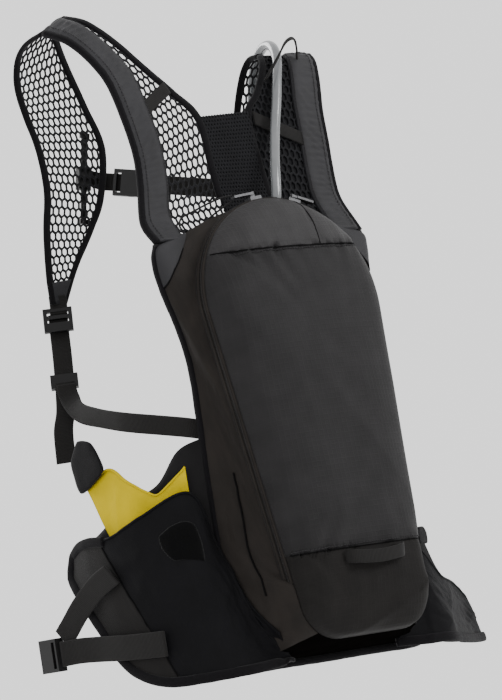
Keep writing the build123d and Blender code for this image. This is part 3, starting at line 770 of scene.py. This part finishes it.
def make_side(sign):
    """A side panel from the back panel's edge to the zip, with its flare below the harness."""
    side = "right" if sign > 0 else "left"
    edge = [Vector((x, -14 if z < 350 else -15, z)) for x, z in PANEL_EDGE]
    half = sum(count for _, count in RIM[:3]) + RIM[3][1] // 2 + 1
    front = [on_arch(x, v, -TAPE_W * smooth((on_arch(x, v, 0).z - ZIP_END_Z) / 8))
             for x, v in outline(ARCH_R, 0, FRONT_DROP)[:half]]
    heights = [0.0]
    for a, b in zip(front, front[1:]):
        heights.append(heights[-1] + (b - a).length)

    def front_at(t):
        want = t * heights[-1]
        for i in range(len(front) - 1):
            if heights[i + 1] >= want:
                return front[i].lerp(front[i + 1], (want - heights[i]) / (heights[i + 1] - heights[i]))
        return front[-1]

    def point(u, v):
        if v < BOTTOM_SHARE:
            b = Vector((edge[0].x * v / BOTTOM_SHARE, -14, HEM_Z))
        else:
            b = catmull(edge, (v - BOTTOM_SHARE) / (1 - BOTTOM_SHARE))
        p = b.lerp(front_at(v), u)
        shape = 2.2 * wobble((p.y, p.z * 0.7, 0), 34, 9) + 1.1 * wobble((p.y * 2, p.z, 4), 14, 11)
        shape -= 3.0 * smooth((p.z - 60) / 60) * smooth((330 - p.z) / 60)
        shape += 2.2 * ridged(0.05 * (p.z * 0.55 + p.y * 1.2) + 0.5) * smooth((p.z - 250) / 60)
        shape += 1.8 * ridged(0.06 * (p.z * 0.8 - p.y) + 1.1) * smooth((200 - p.z) / 90)
        p += Vector((-0.9, -0.35, 0)) * (math.sin(math.pi * u) * shape)
        if sign > 0:
            p.x = -p.x
        return p

    obj = grid_piece("side_cloth_" + side, SIDE_COLS, 150, point, SIDE, "side_fabric", ("side_panel_" + side,),
                     thick=1.0)
    obj.data.materials.append(UNDERSIDE_SHADE)
    # The lowest rows, which close the bag's bottom, take the darker cloth: painted shade on the underside.
    for face in obj.data.polygons[:SIDE_COLS * SHADED_UNDER_ROWS]:
        face.material_index = 1
    out = Vector((0.9 * sign, -0.35, 0))
    pleat = [point(lerp(0.6, 0.34, i / 120), lerp(0.12, 0.6, i / 120)) for i in range(121)]
    # A dark line along the pleat: painted shadow in its fold.
    binding("side_pleat_" + side, [p + out * 1.7 for p in pleat if 4 < p.z < 132], 1.7, 1.4, out, material=SEAM_SHADOW)
    lift = Vector((0.7 * sign, -0.3, 0.55)) * 1.8

    def foot_cloth(u, v):
        across = lerp(0.01, 0.02 + 0.34 * math.sin(math.pi * v) ** 0.8, u)
        return point(across, lerp(FOOT_LOW, FOOT_HIGH, v) + 0.2 * across) + lift

    grid_piece("band_foot_" + side, 10, 40, foot_cloth, BAND, "band", thick=1.0)
    seam = [foot_cloth(1.0, i / 40) for i in range(30)]
    # The band foot's edge seam, drawn dark: the seam with painted shadow along it.
    binding("band_foot_seam_" + side, seam, 2.0, 1.4, out, material=SEAM_SHADOW)


def make_back():
    """Back panel with bound edges, its hem, and cloth-simulated pads."""
    material_on("back_panel", PANEL)
    for side, mirror in (("left", 1), ("right", -1)):
        line = [Vector((x * mirror, -11, z)) for x, z in PANEL_EDGE[:8]]
        binding("panel_binding_" + side, line, 6.4, 8.4, Vector((0, 1, 0)))
    hem = [Vector(p) for p in HEM_LINE]
    binding("bottom_hem", hem, 8.0, 9.5, Vector((0, 1, 0)), ("hem_binding",))
    simulated_pad("lumbar_cushion", "lumbar_pad", lambda q: bump(abs(q.x) - 27, 2.6) + bump(q.z, 2.6))
    simulated_pad("back_cushions", "back_pads",
                  lambda q: bump(q.z - 116, 2.6) + bump(q.z - 175, 2.6) + bump(q.z - 234, 2.6))


def binding(name, line, width, thick, normal, replaces=(), material=BINDING):
    """A fuzzy folded tape along a smooth line through points."""
    count = max(20, int(sum((b - a).length for a, b in zip(line, line[1:])) / 3))
    points = [catmull(line, i / count) for i in range(count + 1)]
    sides, normals = [], []
    for i, q in enumerate(points):
        along = heading(points, i).normalized()
        side = along.cross(normal).normalized()
        out = side.cross(along).normalized()
        sides.append(side)
        normals.append(out)
        points[i] = q + out * (0.3 * wobble(q, 8, 17)) + side * (0.3 * wobble(q, 11, 19))
    tube_piece(name, points, sides, normals, oval(width / 2, thick / 2), "root", material, "webbing", replaces)


PAD_SHARE = 0.72            # the foam's flat thickness, as a share of the CAD pad's
PAD_SWELL, PAD_FRAMES = 3.0, 20


def simulated_pad(name, node, channels):
    """Foam pad swollen by a short cloth simulation, then quilted along its channels."""
    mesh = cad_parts[node].data.copy()
    mesh.name = name
    obj = place_object(name, mesh)
    deep = min(v.co.y for v in mesh.vertices)
    for v in mesh.vertices:
        v.co.y = deep + (v.co.y - deep) * PAD_SHARE
    remesh = obj.modifiers.new("remesh", "REMESH")
    remesh.mode = "VOXEL"
    remesh.voxel_size = 4.0 * MM
    bake(obj)
    start = [v.co.copy() for v in obj.data.vertices]
    cloth = obj.modifiers.new("cloth", "CLOTH")
    cloth.settings.use_pressure = True
    cloth.settings.uniform_pressure_force = 4.0
    cloth.settings.effector_weights.gravity = 0.0
    cloth.point_cache.frame_start = 1
    cloth.point_cache.frame_end = PAD_FRAMES
    for step in range(1, PAD_FRAMES + 1):
        bpy.context.scene.frame_set(step)
    bake(obj)
    bpy.context.scene.frame_set(1)
    for v, was in zip(obj.data.vertices, start):
        move = v.co - was
        if move.length > PAD_SWELL * MM:
            v.co = was + move * (PAD_SWELL * MM / move.length)
        q = v.co / MM
        front = smooth((q.y + 5.0) / 3.0)
        v.co.y -= 2.0 * MM * front * min(1.0, channels(q))
        v.co.y = min(v.co.y, 0.4 * MM)
    obj.data.materials.clear()
    obj.data.materials.append(PAD)
    shade_smooth(obj.data)
    sub = obj.modifiers.new("round", "SUBSURF")
    sub.levels = 1
    sub.render_levels = 1
    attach(obj, "root")
    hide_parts(node)


def bake(obj):
    """Applies an object's modifiers to its mesh."""
    graph = bpy.context.evaluated_depsgraph_get()
    result = bpy.data.meshes.new_from_object(obj.evaluated_get(graph))
    old = obj.data
    obj.modifiers.clear()
    obj.data = result
    bpy.data.meshes.remove(old)


def material_on(node, material, bevel=0.0):
    """Gives a CAD node a better material, and softened edges where it is hardware."""
    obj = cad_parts[node]
    if not obj.material_slots:
        obj.data.materials.append(material)
    for s in obj.material_slots:
        s.material = material
    if bevel:
        mod = obj.modifiers.new("soft_edges", "BEVEL")
        mod.width = bevel * MM
        mod.segments = 3
        mod.limit_method = "ANGLE"
        mod.angle_limit = math.radians(35)
        mod.harden_normals = False


# ---- Harness ----
HARNESS_LEFT = [
    ((-129, -11, 362), (-27, -11, 362)), ((-131, 4, 385), (-27, 2, 400)), ((-121, 14, 421), (-27, 10, 440)),
    ((-114, 22, 455), (-27, 20, 492)), ((-112, 34, 492), (-40, 38, 522)), ((-112, 52, 536), (-57, 58, 553)),
    ((-119, 70, 566), (-74, 82, 588)), ((-128, 90, 588), (-89, 102, 611)), ((-136, 116, 602), (-99, 122, 621))]
STRAP_LEFT = [
    ((-136, 116, 602), (-99, 122, 621)), ((-139, 145, 597), (-96, 146, 620)), ((-137, 168, 585), (-80, 168, 608)),
    ((-131, 184, 563), (-60, 186, 584)), ((-120, 194, 537), (-38, 197, 545)), ((-107, 199, 501), (-20, 202, 500)),
    ((-104, 200, 458), (-32, 201, 447)), ((-114, 197, 416), (-54, 198, 412)), ((-123, 191, 370), (-84, 192, 374)),
    ((-126, 187, 338), (-108, 187, 336))]
HARNESS_RIGHT = [
    ((129, -11, 362), (27, -11, 362)), ((121, 3, 395), (27, 2, 400)), ((121, 9, 419), (27, 10, 440)),
    ((125, 15, 463), (29, 20, 492)), ((128, 20, 495), (48, 24, 516)), ((134, 25, 522), (60, 28, 533)),
    ((140, 33, 546), (70, 35, 549)), ((144, 44, 556), (77, 46, 558))]
STRAP_RIGHT = [
    ((144, 44, 556), (77, 46, 558)), ((146, 66, 556), (80, 68, 558)), ((145, 82, 538), (79, 84, 540)),
    ((142, 88, 500), (70, 90, 500)), ((138, 90, 450), (68, 92, 450)), ((138, 88, 395), (78, 90, 395)),
    ((140, 86, 340), (92, 88, 340)), ((141, 84, 285), (105, 86, 285)), ((139, 82, 240), (118, 84, 240))]
TAB_AT = 0.52       # place of the small tab across the mesh, as a share of the rear part's length
TIP = 26.0          # length of the cloth tip that ends a strap's front part


def band_relief(s, x):
    """Cross wrinkles on the padded nylon band."""
    fine = ridged(0.44 * s + 0.07 * x + 2.4 * wobble((s, x, 0), 30, 13)) * (0.6 + 0.4 * wobble((s, 0, 0), 45, 15))
    return 2.2 * fine * smooth(x / 9) * smooth((BAND_W - x) / 9)


def make_harness():
    """Each side: a padded nylon band, hexagonal mesh beside it, and the mesh front part with bound edges."""
    for side, rear_pairs, front_pairs, flip in (("left", HARNESS_LEFT, STRAP_LEFT, 1),
                                                ("right", HARNESS_RIGHT, STRAP_RIGHT, -1)):
        rear = Strap(rear_pairs, flip)
        slab("band_" + side, rear, 2.0, lambda s: BAND_W, 7.0, 2.5, BAND, ("harness_band_" + side,), step=2.5,
             bulge=band_relief)
        hex_sheet("mesh_" + side, rear, BAND_W - 3, lambda s: rear.width(s) - 3, MESH, "harness_mesh_" + side,
                  lift=1.5)
        if side == "right":
            grid_piece("mesh_backing_right", 8, 60, lambda u, v: rear.point(
                v * rear.length, lerp(BAND_W - 3, rear.width(v * rear.length) - 4, u), 0.2), MESH, "mesh", thick=0.6)
        tab = TAB_AT * rear.length
        reach = rear.width(tab) - 9
        tab_line = [rear.point(tab + 2 * k, lerp(BAND_W - 4, reach, k / 4), 4.0) for k in range(5)]
        webbing("mesh_tab_" + side, tab_line, 15.0, rear.frame(tab)[3])
        stops = [rear.length * i / 200 for i in range(201)]
        ups = [rear.frame(s)[2] for s in stops]
        for k, (x, lift) in enumerate(((9.5, 6.6), (BAND_W - 2.0, 5.6))):
            stitches("band_stitch_%s_%d" % (side, k), [rear.point(s, x, lift) for s in stops], ups, 3.4)
        edge_binding("band_edge_" + side, rear, 0, 7.4, 2.0)
        edge_binding("neck_edge_" + side, rear, 1, BIND_T, 1.5, s0=40)
        front = Strap(front_pairs, flip)
        hex_sheet("strap_mesh_" + side, front, 3.0, lambda s: front.width(s) - 3, MESH, "strap_front_" + side)
        edge_binding("strap_outer_edge_" + side, front, 0, BIND_T, 2.0)
        edge_binding("strap_inner_edge_" + side, front, 1, BIND_T, 2.0)
        slab("strap_tip_" + side, front, 1.0, lambda s: front.width(s) - 1, 5.0, 2.0, BAND, s0=front.length - TIP,
             nx=8)
    yoke = Strap([((-26.5, -11, 362), (26.5, -11, 362)), ((-26.5, 2, 400), (26.5, 2, 400)),
                  ((-26.5, 10, 440), (26.5, 10, 440)), ((-26.5, 20, 494), (28, 20, 497))])
    hex_sheet("yoke_cloth", yoke, -4.0, lambda s: yoke.width(s) + 4, YOKE, "yoke_panel", 3.6, 0.5, thick=3.0,
              stretch=1.3)


# ---- Webbing ----
def webbing(name, points, width, across, replaces=(), body="root", wave_mm=0.6):
    """A woven strap along middle points. Its width lies along a direction, or along one for each point."""
    ways = across if isinstance(across, list) else [across] * len(points)
    halves = [Vector(way).normalized() * (width / 2) for way in ways]
    strap = Strap([(Vector(p) - half, Vector(p) + half) for p, half in zip(points, halves)])
    middles, sides, normals = [], [], []
    count = max(3, int(strap.length / 2.5))
    for i in range(count + 1):
        s = strap.length * i / count
        a, b, n, _ = strap.frame(s)
        middles.append((a + b) * 0.5 + n * (wave_mm * wobble((s, 0, 0), 28, 21)))
        sides.append((b - a).normalized())
        normals.append(n)
    profile = oval(width / 2, WEB_T / 2 + 0.1, 16, 5)
    tube_piece(name, middles, sides, normals, profile, body, WEBBING, "webbing", replaces)


ACROSS_LEFT = (0.8, -0.58, 0)


ACROSS_RIGHT = (-1, 0, 0)
UPRIGHT = (0, 0, 1)


def make_adjusters():
    """Shoulder webbing from the ladder locks down to the pack's sides, with tails."""
    webbing("lock_anchor_left", [(-117, 189, 346), (-118, 188, 334), (-119.5, 188, 326)], WEB - 2, ACROSS_LEFT,
            wave_mm=0)
    webbing("adjust_run_left", [(-119.5, 189, 327), (-121, 189, 307), (-128, 180, 282), (-137, 170, 250)], WEB,
            ACROSS_LEFT, ("adjust_webbing_left",))
    webbing("adjust_side_left", [(-138, 167, 252), (-141, 158, 236), (-146, 136, 219), (-148, 100, 208),
                                 (-147, 60, 198), (-134, 20, 188), (-120, -4, 181), (-106, -9, 177)], WEB,
            [ACROSS_LEFT, (0.75, -0.5, 0.35), (0.35, -0.2, 0.9)] + [UPRIGHT] * 5)
    webbing("adjust_tail_left", [(-138, 168, 254), (-140, 167, 242), (-144, 165, 224), (-151, 164, 204),
                                 (-154, 163, 172)], WEB, ACROSS_LEFT)
    webbing("lock_anchor_right", [(128, 85, 250), (128, 85, 236), (128, 85, 226)], WEB - 2, ACROSS_RIGHT,
            wave_mm=0)
    webbing("adjust_run_right", [(128, 85, 220), (128, 85, 208), (130, 83, 180), (131, 82, 150)], WEB,
            ACROSS_RIGHT, ("adjust_webbing_right",))
    webbing("adjust_side_right", [(131, 80, 152), (131, 72, 148), (131, 50, 156), (126, 20, 168), (119, -9, 176),
                                  (104, -16, 176)], WEB, [ACROSS_RIGHT, (-0.5, 0, 0.8)] + [UPRIGHT] * 4)
    webbing("adjust_tail_right", [(131, 82, 152), (132, 84, 140), (133, 84, 110), (133, 84, 84)], WEB,
            ACROSS_RIGHT)


STERNUM_FROM, STERNUM_TO = Vector((-24.0, 210.0, 466.0)), Vector((83.0, 105.0, 430.0))
STERNUM_MOUTH, WEB_OVER, STERNUM_BAR = 42.0, 3.8, 24.0


def make_sternum():
    """The sternum strap's webbing, either side of its buckle."""
    along = (STERNUM_TO - STERNUM_FROM).normalized()
    over = along.cross(Vector((0, 0, 1))).normalized() * WEB_OVER
    reach = (STERNUM_TO - STERNUM_FROM).length
    webbing("sternum_root", [(-37, 213.4, 471), (-30, 213, 468), STERNUM_FROM, STERNUM_FROM + along * 12,
                             STERNUM_FROM + along * STERNUM_BAR], WEB - 1, UPRIGHT, ("sternum_webbing",),
            "sternum", 0)
    far = [STERNUM_FROM + along * d + over for d in (STERNUM_MOUTH + 5, STERNUM_MOUTH + 40, reach - 30, reach - 4)]
    webbing("sternum_run", far, WEB, UPRIGHT, (), "sternum", 0)


# ---- Hips ----
WING_LEFT = [
    ((-101, -9.5, -57), (-101, -9.5, 170)), ((-128, 5, -60), (-127, 5, 160)), ((-149, 30, -60), (-143, 24, 130)),
    ((-163, 58, -44), (-160, 60, 116)), ((-172, 85, -2), (-168, 90, 96)), ((-177, 110, 28), (-170, 116, 84)),
    ((-179, 128, 48), (-172, 134, 72))]
SKIN_LEFT = [
    ((-66, -44, -58), (-88, -60, -32)), ((-92, -50, -61), (-101, -34, 4)), ((-124, -48, -63), (-113, -14, 62)),
    ((-155, -22, -64), (-138, -18, 116)), ((-178, 12, -62), (-176, 18, 100)), ((-190, 50, -44), (-188, 56, 86)),
    ((-193, 84, -4), (-190, 90, 87)), ((-192, 108, 24), (-187, 114, 84)), ((-189, 128, 46), (-183, 134, 73)),
    ((-187, 134, 54), (-184.5, 136, 64))]
LINING_LEFT = [
    ((-131, -8, 90), (-132, -9, 143)), ((-148, 5, 88), (-148, 4, 126)), ((-160, 15, 84), (-158, 14, 121)),
    ((-176, 28, 78), (-170, 32, 134)), ((-181, 47, 72), (-171, 66, 154)), ((-179, 62, 77), (-173, 105, 139))]
WING_RIGHT = [
    ((101, -9.5, -57), (101, -9.5, 124)), ((140, -3, -62), (138, -2, 66)), ((172, 12, -66), (170, 14, 16)),
    ((205, 28, -68), (203, 30, -12)), ((238, 44, -68), (234, 46, -40))]
SKIN_RIGHT = [
    ((66, -40, -58), (88, -58, -32)), ((96, -50, -61), (104, -30, 52)), ((110, -52, -61), (118, -38, 30)),
    ((132, -50, -62), (134, -34, 12)), ((155, -34, -65), (151, -26, 0)), ((188, -8, -67), (182, -2, -7)),
    ((217, 16, -68), (212, 20, -21)), ((242, 34, -68), (238, 37, -46))]
LINING_RIGHT = [
    ((134, -14, -20), (133, -14, 34)), ((152, -8, -30), (151, -8, 16)), ((178, 5, -40), (176, 5, -4))]
HEM_STEPS, TIP_STEPS = 40, 11
BORDER_HEM, BORDER_MOUTH = 0.399, 0.608      # where the left pocket's seam meets the hem and the mouth
PATCH_AT, PATCH_HALF = (0.64, 0.745), (0.085, 0.105)     # hook patch: shares along and across the left pocket


def pocket_folds(s, f):
    """Loose folds of the pocket's cloth, in millimetres outward. f runs from the hem to the mouth."""
    run = s * 0.021
    out = 5.0 * ridged(run + 1.3 * f + 0.9) + 3.5 * ridged(run * 1.7 - 2.0 * f + 0.3)
    out += 4.0 * wobble((s, f * 120, 0), 52, 31) + 1.2 * wobble((s * 1.4, f * 200, 3), 17, 33)
    out += 4.0 * bump(f - 0.12, 0.05) * wobble((s, 0, 7), 30, 35)
    return out - 3.0


def make_skin(side, pairs, flip, hem, mouth):
    """Stretch cloth sewn along its ends, gathered at the hem and slack at the mouth."""
    strap = Strap(pairs, flip)
    loose = 1.0 if side == "left" else 0.6

    def surface(v, f, lift=0.0):
        s = strap.reach(v * lerp(hem, mouth, f))
        p = strap.point(s, f * strap.width(s))
        ends = smooth(v / 0.12) * smooth((1 - v) / 0.12)
        drape = math.sin(math.pi * min(1.0, f * 0.86 + 0.02)) ** 0.7
        return p + strap.frame(s)[2] * (loose * (pocket_folds(s, f) + 3.0) * ends * drape + lift)

    grid_piece("pocket_cloth_" + side, 46, 150, lambda u, v: surface(v, u), POCKET, "stretch",
               ("hip_pocket_" + side,), 0.9)
    rim = [surface(i / 80, 1.0) for i in range(81)]
    binding("pocket_rim_" + side, rim, 3.0, 2.4, Vector(UPRIGHT), material=POCKET)
    if mouth < 1:
        # The border seam, drawn dark: the seam with painted shadow along it.
        seam = [surface(1.0, f / 40, 0.6) for f in range(41)]
        binding("border_seam_" + side, seam, 1.6, 1.2, strap.frame(strap.length * 0.5)[2], material=SEAM_SHADOW)

        def strip(u, v):
            s = strap.reach(lerp(lerp(hem, mouth, u), 1.0, v))
            return strap.point(s, u * strap.width(s), 0.4 * wobble((s, u * 90, 0), 24, 37))

        grid_piece("wing_border_" + side, 24, 60, strip, BORDER, "band", thick=2.2)
        hook_patch(surface)
    return strap


def hook_patch(surface):
    """A rounded patch of hook tape sewn on the left pocket."""
    def point(u, v):
        a, b = 2 * u - 1, 2 * v - 1
        x = a * math.sqrt(max(0.0, 1 - 0.32 * b * b))
        y = b * math.sqrt(max(0.0, 1 - 0.32 * a * a))
        edge = 1.5 * (1 - max(abs(a), abs(b)) ** 6)
        return surface(PATCH_AT[0] + PATCH_HALF[0] * x, PATCH_AT[1] + PATCH_HALF[1] * y, 0.5 + edge)

    grid_piece("hook_patch", 26, 26, point, HOOK_TAPE, "stretch", thick=0.8)


def hem_line(strap):
    """The outer edge of a wing, from the bag along the hem and round the tip to the mouth."""
    line = [strap.point(strap.length * i / HEM_STEPS, 1.5, 1.0) for i in range(HEM_STEPS + 1)]
    for i in range(1, TIP_STEPS + 1):
        s = strap.length * lerp(1.0, 0.71, i / TIP_STEPS)
        line.append(strap.point(s, strap.width(s) - 1.5, 1.0))
    return line


def make_hips():
    """Wings, pockets, linings, hook patch, bindings and hip webbing."""
    for side, wing, skin, lining, flip, hem, mouth in (
            ("left", WING_LEFT, SKIN_LEFT, LINING_LEFT, 1, BORDER_HEM, BORDER_MOUTH),
            ("right", WING_RIGHT, SKIN_RIGHT, LINING_RIGHT, -1, 1.0, 1.0)):
        body = Strap(wing, flip)
        slab("wing_" + side, body, 0.0, body.width, 6.4, 3.5, PANEL, ("hip_wing_" + side,), nx=24)
        strap = make_skin(side, skin, flip, hem, mouth)
        line = hem_line(strap)[:HEM_STEPS + 1 + (TIP_STEPS if side == "left" else 0)]
        binding("wing_binding_" + side, line, 10.0, 5.0, strap.frame(strap.length * 0.6)[2])
        inner = Strap(lining, flip)

        def lining_point(u, v):
            s = v * inner.length
            fold = 2.2 * wobble((s, u * 40, 0), 20, 41) + 1.8 * ridged(s * 0.07 + u)
            out = inner.frame(s)[2] * (fold * math.sin(math.pi * min(1, u * 0.85 + 0.1)))
            return inner.point(s, u * inner.width(s)) + out + Vector((0, 0, 2.0 * wobble((s, 9, 0), 14, 43) * u))

        grid_piece("lining_cloth_" + side, 16, 90, lining_point, LINING, "lining", ("pocket_lining_" + side,), 0.8)
        top = [lining_point(1.0, i / 60) for i in range(61)]
        binding("lining_hem_" + side, top, 3.0, 2.2, Vector(UPRIGHT), material=LINING)
    webbing("hip_run_left", [(-180, 0, -24), (-194, 44, -22), (-201, 84, -19), (-208, 108, -17.5),
                             (-216, 129, -18)], HIP_WEB, UPRIGHT, ("hip_webbing_left",))
    webbing("hip_top_left", [(-196, 50, 51), (-200, 76, 40), (-204, 100, 24), (-209, 117, 7), (-213, 127, -4)],
            HIP_WEB, (-0.18, 0.58, 0.785))
    webbing("hip_run_right", [(222, 37.5, -54), (232, 43.5, -53), (240, 51, -52), (246, 68, -50), (240, 88, -48),
                              (222, 101, -46), (200, 107, -45.5), (150, 112, -45)], HIP_WEB, UPRIGHT,
            ("hip_webbing_right",), None, 0)
    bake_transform(bpy.data.objects["hip_run_right"])


FLAP_LEFT = [(-176.5, 113, 132), (-176.5, 122, 168), (-176.5, 104, 189), (-176.5, 81, 184), (-176.5, 62, 153)]
FLAP_RIGHT = [(127.6, -26.5, 36), (127.6, -26.5, 48), (132, -24, 54), (144, -17, 54), (148.4, -14.5, 48),
              (148.4, -14.5, 36)]
FLAP_T = 3.2
FLAP_SECTION = [(0.25, -1), (0.6, -1), (0.9, -0.95), (1.0, -0.5), (1.0, 0.5), (0.9, 0.95), (0.6, 1), (0.25, 1)]


def make_flaps():
    """The fuzzy closing tab of each hip pocket: a thick rounded patch inside a closed outline."""
    for side, corners in (("left", FLAP_LEFT), ("right", FLAP_RIGHT)):
        ring = [Vector(c) for c in corners]
        for share in (0.14, 0.25, 0.25, 0.25):
            ring = [q for a, b in zip(ring, ring[1:] + ring[:1]) for q in (a.lerp(b, share), a.lerp(b, 1 - share))]
        centre = sum(ring, Vector()) / len(ring)
        normal = (ring[0] - centre).cross(ring[len(ring) // 4] - centre).normalized()
        verts, uvs = [], []
        for scale, level in FLAP_SECTION:
            for q in ring:
                p = centre + (q - centre) * scale
                verts.append(p + normal * (level * FLAP_T / 2 + 0.5 * wobble(p, 14, 51)))
                uvs.append((p.x + p.y, p.z))
        faces = sweep_faces(len(FLAP_SECTION), len(ring))
        mesh_piece("flap_cloth_" + side, verts, faces, "flap_" + side, LOOP_TAPE, "stretch",
                   ("pocket_flap_" + side,), uvs)


# ---- Drink tube and loops ----
TUBE_ROUTE = [
    (0, -41, 52), (0, -41, 90), (4, -42, 138), (9, -41, 190), (10, -39, 245), (10, -35, 298), (12, -30, 346),
    (13, -28.5, 385), (18, -28, 408), (27, -20, 432), (40, -8, 455), (53, 2, 480), (65, 9, 505), (76, 17, 530),
    (88, 26, 553), (98, 44, 571), (103, 67, 575), (106, 90, 560), (107, 104, 530), (107, 108, 490),
    (110, 108, 445), (114, 106, 400), (117, 103, 355), (118, 101, 318), (118, 101, 288)]


def cord_curve(name, route, diameter, material, body):
    """A cord along a route, on one open spline."""
    data = bpy.data.curves.new(name, "CURVE")
    data.dimensions = "3D"
    spline = data.splines.new("NURBS")
    spline.points.add(len(route) - 1)
    for p, co in zip(spline.points, route):
        p.co = (co[0] * MM, co[1] * MM, co[2] * MM, 1)
    spline.order_u = 3
    spline.use_endpoint_u = True
    data.bevel_depth = diameter * MM / 2
    data.bevel_resolution = 6
    data.resolution_u = 12
    data.use_fill_caps = True
    data.materials.append(material)
    obj = place_object(name, data)
    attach(obj, body)
    return obj


def make_tube():
    """The hose, its housing, mouthpiece and keeper."""
    hose = cord_curve("hose", TUBE_ROUTE, TUBE_OD, HOSE, "root")
    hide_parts("drink_tube")
    material_on("valve_body", PLASTIC, 1.0)
    material_on("bite_valve", SILICONE, 1.0)
    material_on("shutoff_lever", PLASTIC, 0.6)
    tuple(c * MM for c in TUBE_ROUTE[0])
    webbing("keeper_loop", [(60, 16, 528), (72, 6, 548), (84, 4, 564), (98, 8, 569), (110, 20, 563),
                            (117, 31, 550), (121, 37, 540)], 4.5,
            [(0.7, 0.7, -0.2)] * 2 + [(0.3, 0.7, 0.5), (0, 0.7, 0.7), (0.4, 0.5, 0.6)] + [(0.8, 0.4, 0.4)] * 2,
            ("tube_keeper",), wave_mm=0)
    webbing("light_loop_web", [(-36, -114.8, 32), (-27, -121.6, 30), (0, -123.6, 28), (27, -121.6, 30),
                               (36, -114.8, 32)], 13, (0, -0.1, 1), ("light_loop",), wave_mm=0)


PULL_LOOP = [
    (-37, -27, 403.5), (-48, -24, 403), (-62, -14, 398), (-76, -7, 392), (-88, -4, 388), (-91, -4, 378),
    (-83, -5, 372), (-70, -9, 377), (-54, -18, 389), (-38, -26, 398)]
PULL_LOOP_D = 2.0


def make_pull_loop():
    """The cord loop on the left zip pull, lying on the harness."""
    loop = cord_curve("pull_loop", PULL_LOOP, PULL_LOOP_D, CORD, "pull_left")
    tuple(c * MM for c in PULL_LOOP[0])


def make_hardware():
    """Materials and softened edges for the moulded parts that keep their CAD shape."""
    for strap in ("sternum", "hip"):
        for part in ("_buckle_female", "_buckle_male", "_prong_upper", "_prong_lower"):
            material_on(strap + part, PLASTIC, 0.7)
    for side in ("left", "right"):
        material_on("ladder_lock_" + side, PLASTIC, 0.7)
        material_on("tri_glide_" + side, PLASTIC, 0.7)
        material_on("zip_slider_" + side, METAL, 0.3)
        material_on("zip_pull_" + side, METAL, 0.3)
    for node in ("sternum_rails", "sternum_runners", "hose_port", "reservoir_clamp"):
        material_on(node, PLASTIC, 0.7)
    material_on("reservoir_bag", FILM)
    material_on("reservoir_sleeve", PANEL)


# ---- Camera, floor and light ----
AIM = Vector((-16.0, 10.5, 252.5)) * MM     # the view's centre
DISTANCE, VIEW_TALL, SENSOR = 3.4, 0.7, 36.0
FOCAL = SENSOR * DISTANCE / VIEW_TALL       # a long lens that sees VIEW_TALL metres at DISTANCE
VIEW_AZ, VIEW_EL, PACK_LEAN = math.radians(-37.0), math.radians(7.0), math.radians(15.0)
FLOOR_Z, FLOOR_HALF = -0.95, 12.0           # a standing wearer's ground
LIGHTS = [("key", (1.6, -2.6, 2.2), 1.6, 90), ("fill", (-3.0, -1.2, 0.9), 2.0, 30),
          ("rim", (-0.5, 2.4, 2.0), 1.5, 50)]       # name, place, size in metres, and power


def make_stage():
    """A camera on the pack's left rear, a plain pale floor and soft light."""
    level = math.cos(VIEW_EL)
    back = Vector((math.sin(VIEW_AZ) * level, -math.cos(VIEW_AZ) * level, math.sin(VIEW_EL)))
    lean = Matrix.Rotation(PACK_LEAN, 3, "X")
    turn = lean @ back.to_track_quat("Z", "Y").to_matrix()
    camera = place_object("camera", bpy.data.cameras.new("camera"))
    camera.data.lens = FOCAL
    camera.data.sensor_width = SENSOR
    camera.data.clip_end = 50.0
    camera.matrix_world = Matrix.Translation(AIM + turn @ Vector((0, 0, DISTANCE))) @ turn.to_4x4()
    bpy.context.scene.camera = camera
    mesh = bpy.data.meshes.new("floor")
    corners = ((-1, -1), (1, -1), (1, 1), (-1, 1))
    mesh.from_pydata([(x * FLOOR_HALF, y * FLOOR_HALF, FLOOR_Z) for x, y in corners], [], [(0, 1, 2, 3)])
    mesh.materials.append(shader("floor_paint", (0.9, 0.9, 0.9), 0.9)[0])
    place_object("floor", mesh)
    world = bpy.data.worlds.new("studio")
    world.use_nodes = True
    world.node_tree.nodes["Background"].inputs["Color"].default_value = (1, 1, 1, 1)
    world.node_tree.nodes["Background"].inputs["Strength"].default_value = 1.5
    bpy.context.scene.world = world
    for name, place, size_m, power in LIGHTS:
        light = place_object(name, bpy.data.lights.new(name, "AREA"))
        light.data.size = size_m
        light.data.energy = power
        light.location = place
        light.rotation_euler = (Vector(place) - Vector((0, 0, 0.25))).to_track_quat("Z", "Y").to_euler()


make_stage()
make_tube()
make_pull_loop()
make_front()
make_zip()
make_side(-1)
make_side(1)
make_back()
make_harness()
make_adjusters()
make_sternum()
make_hips()
make_flaps()
make_hardware()
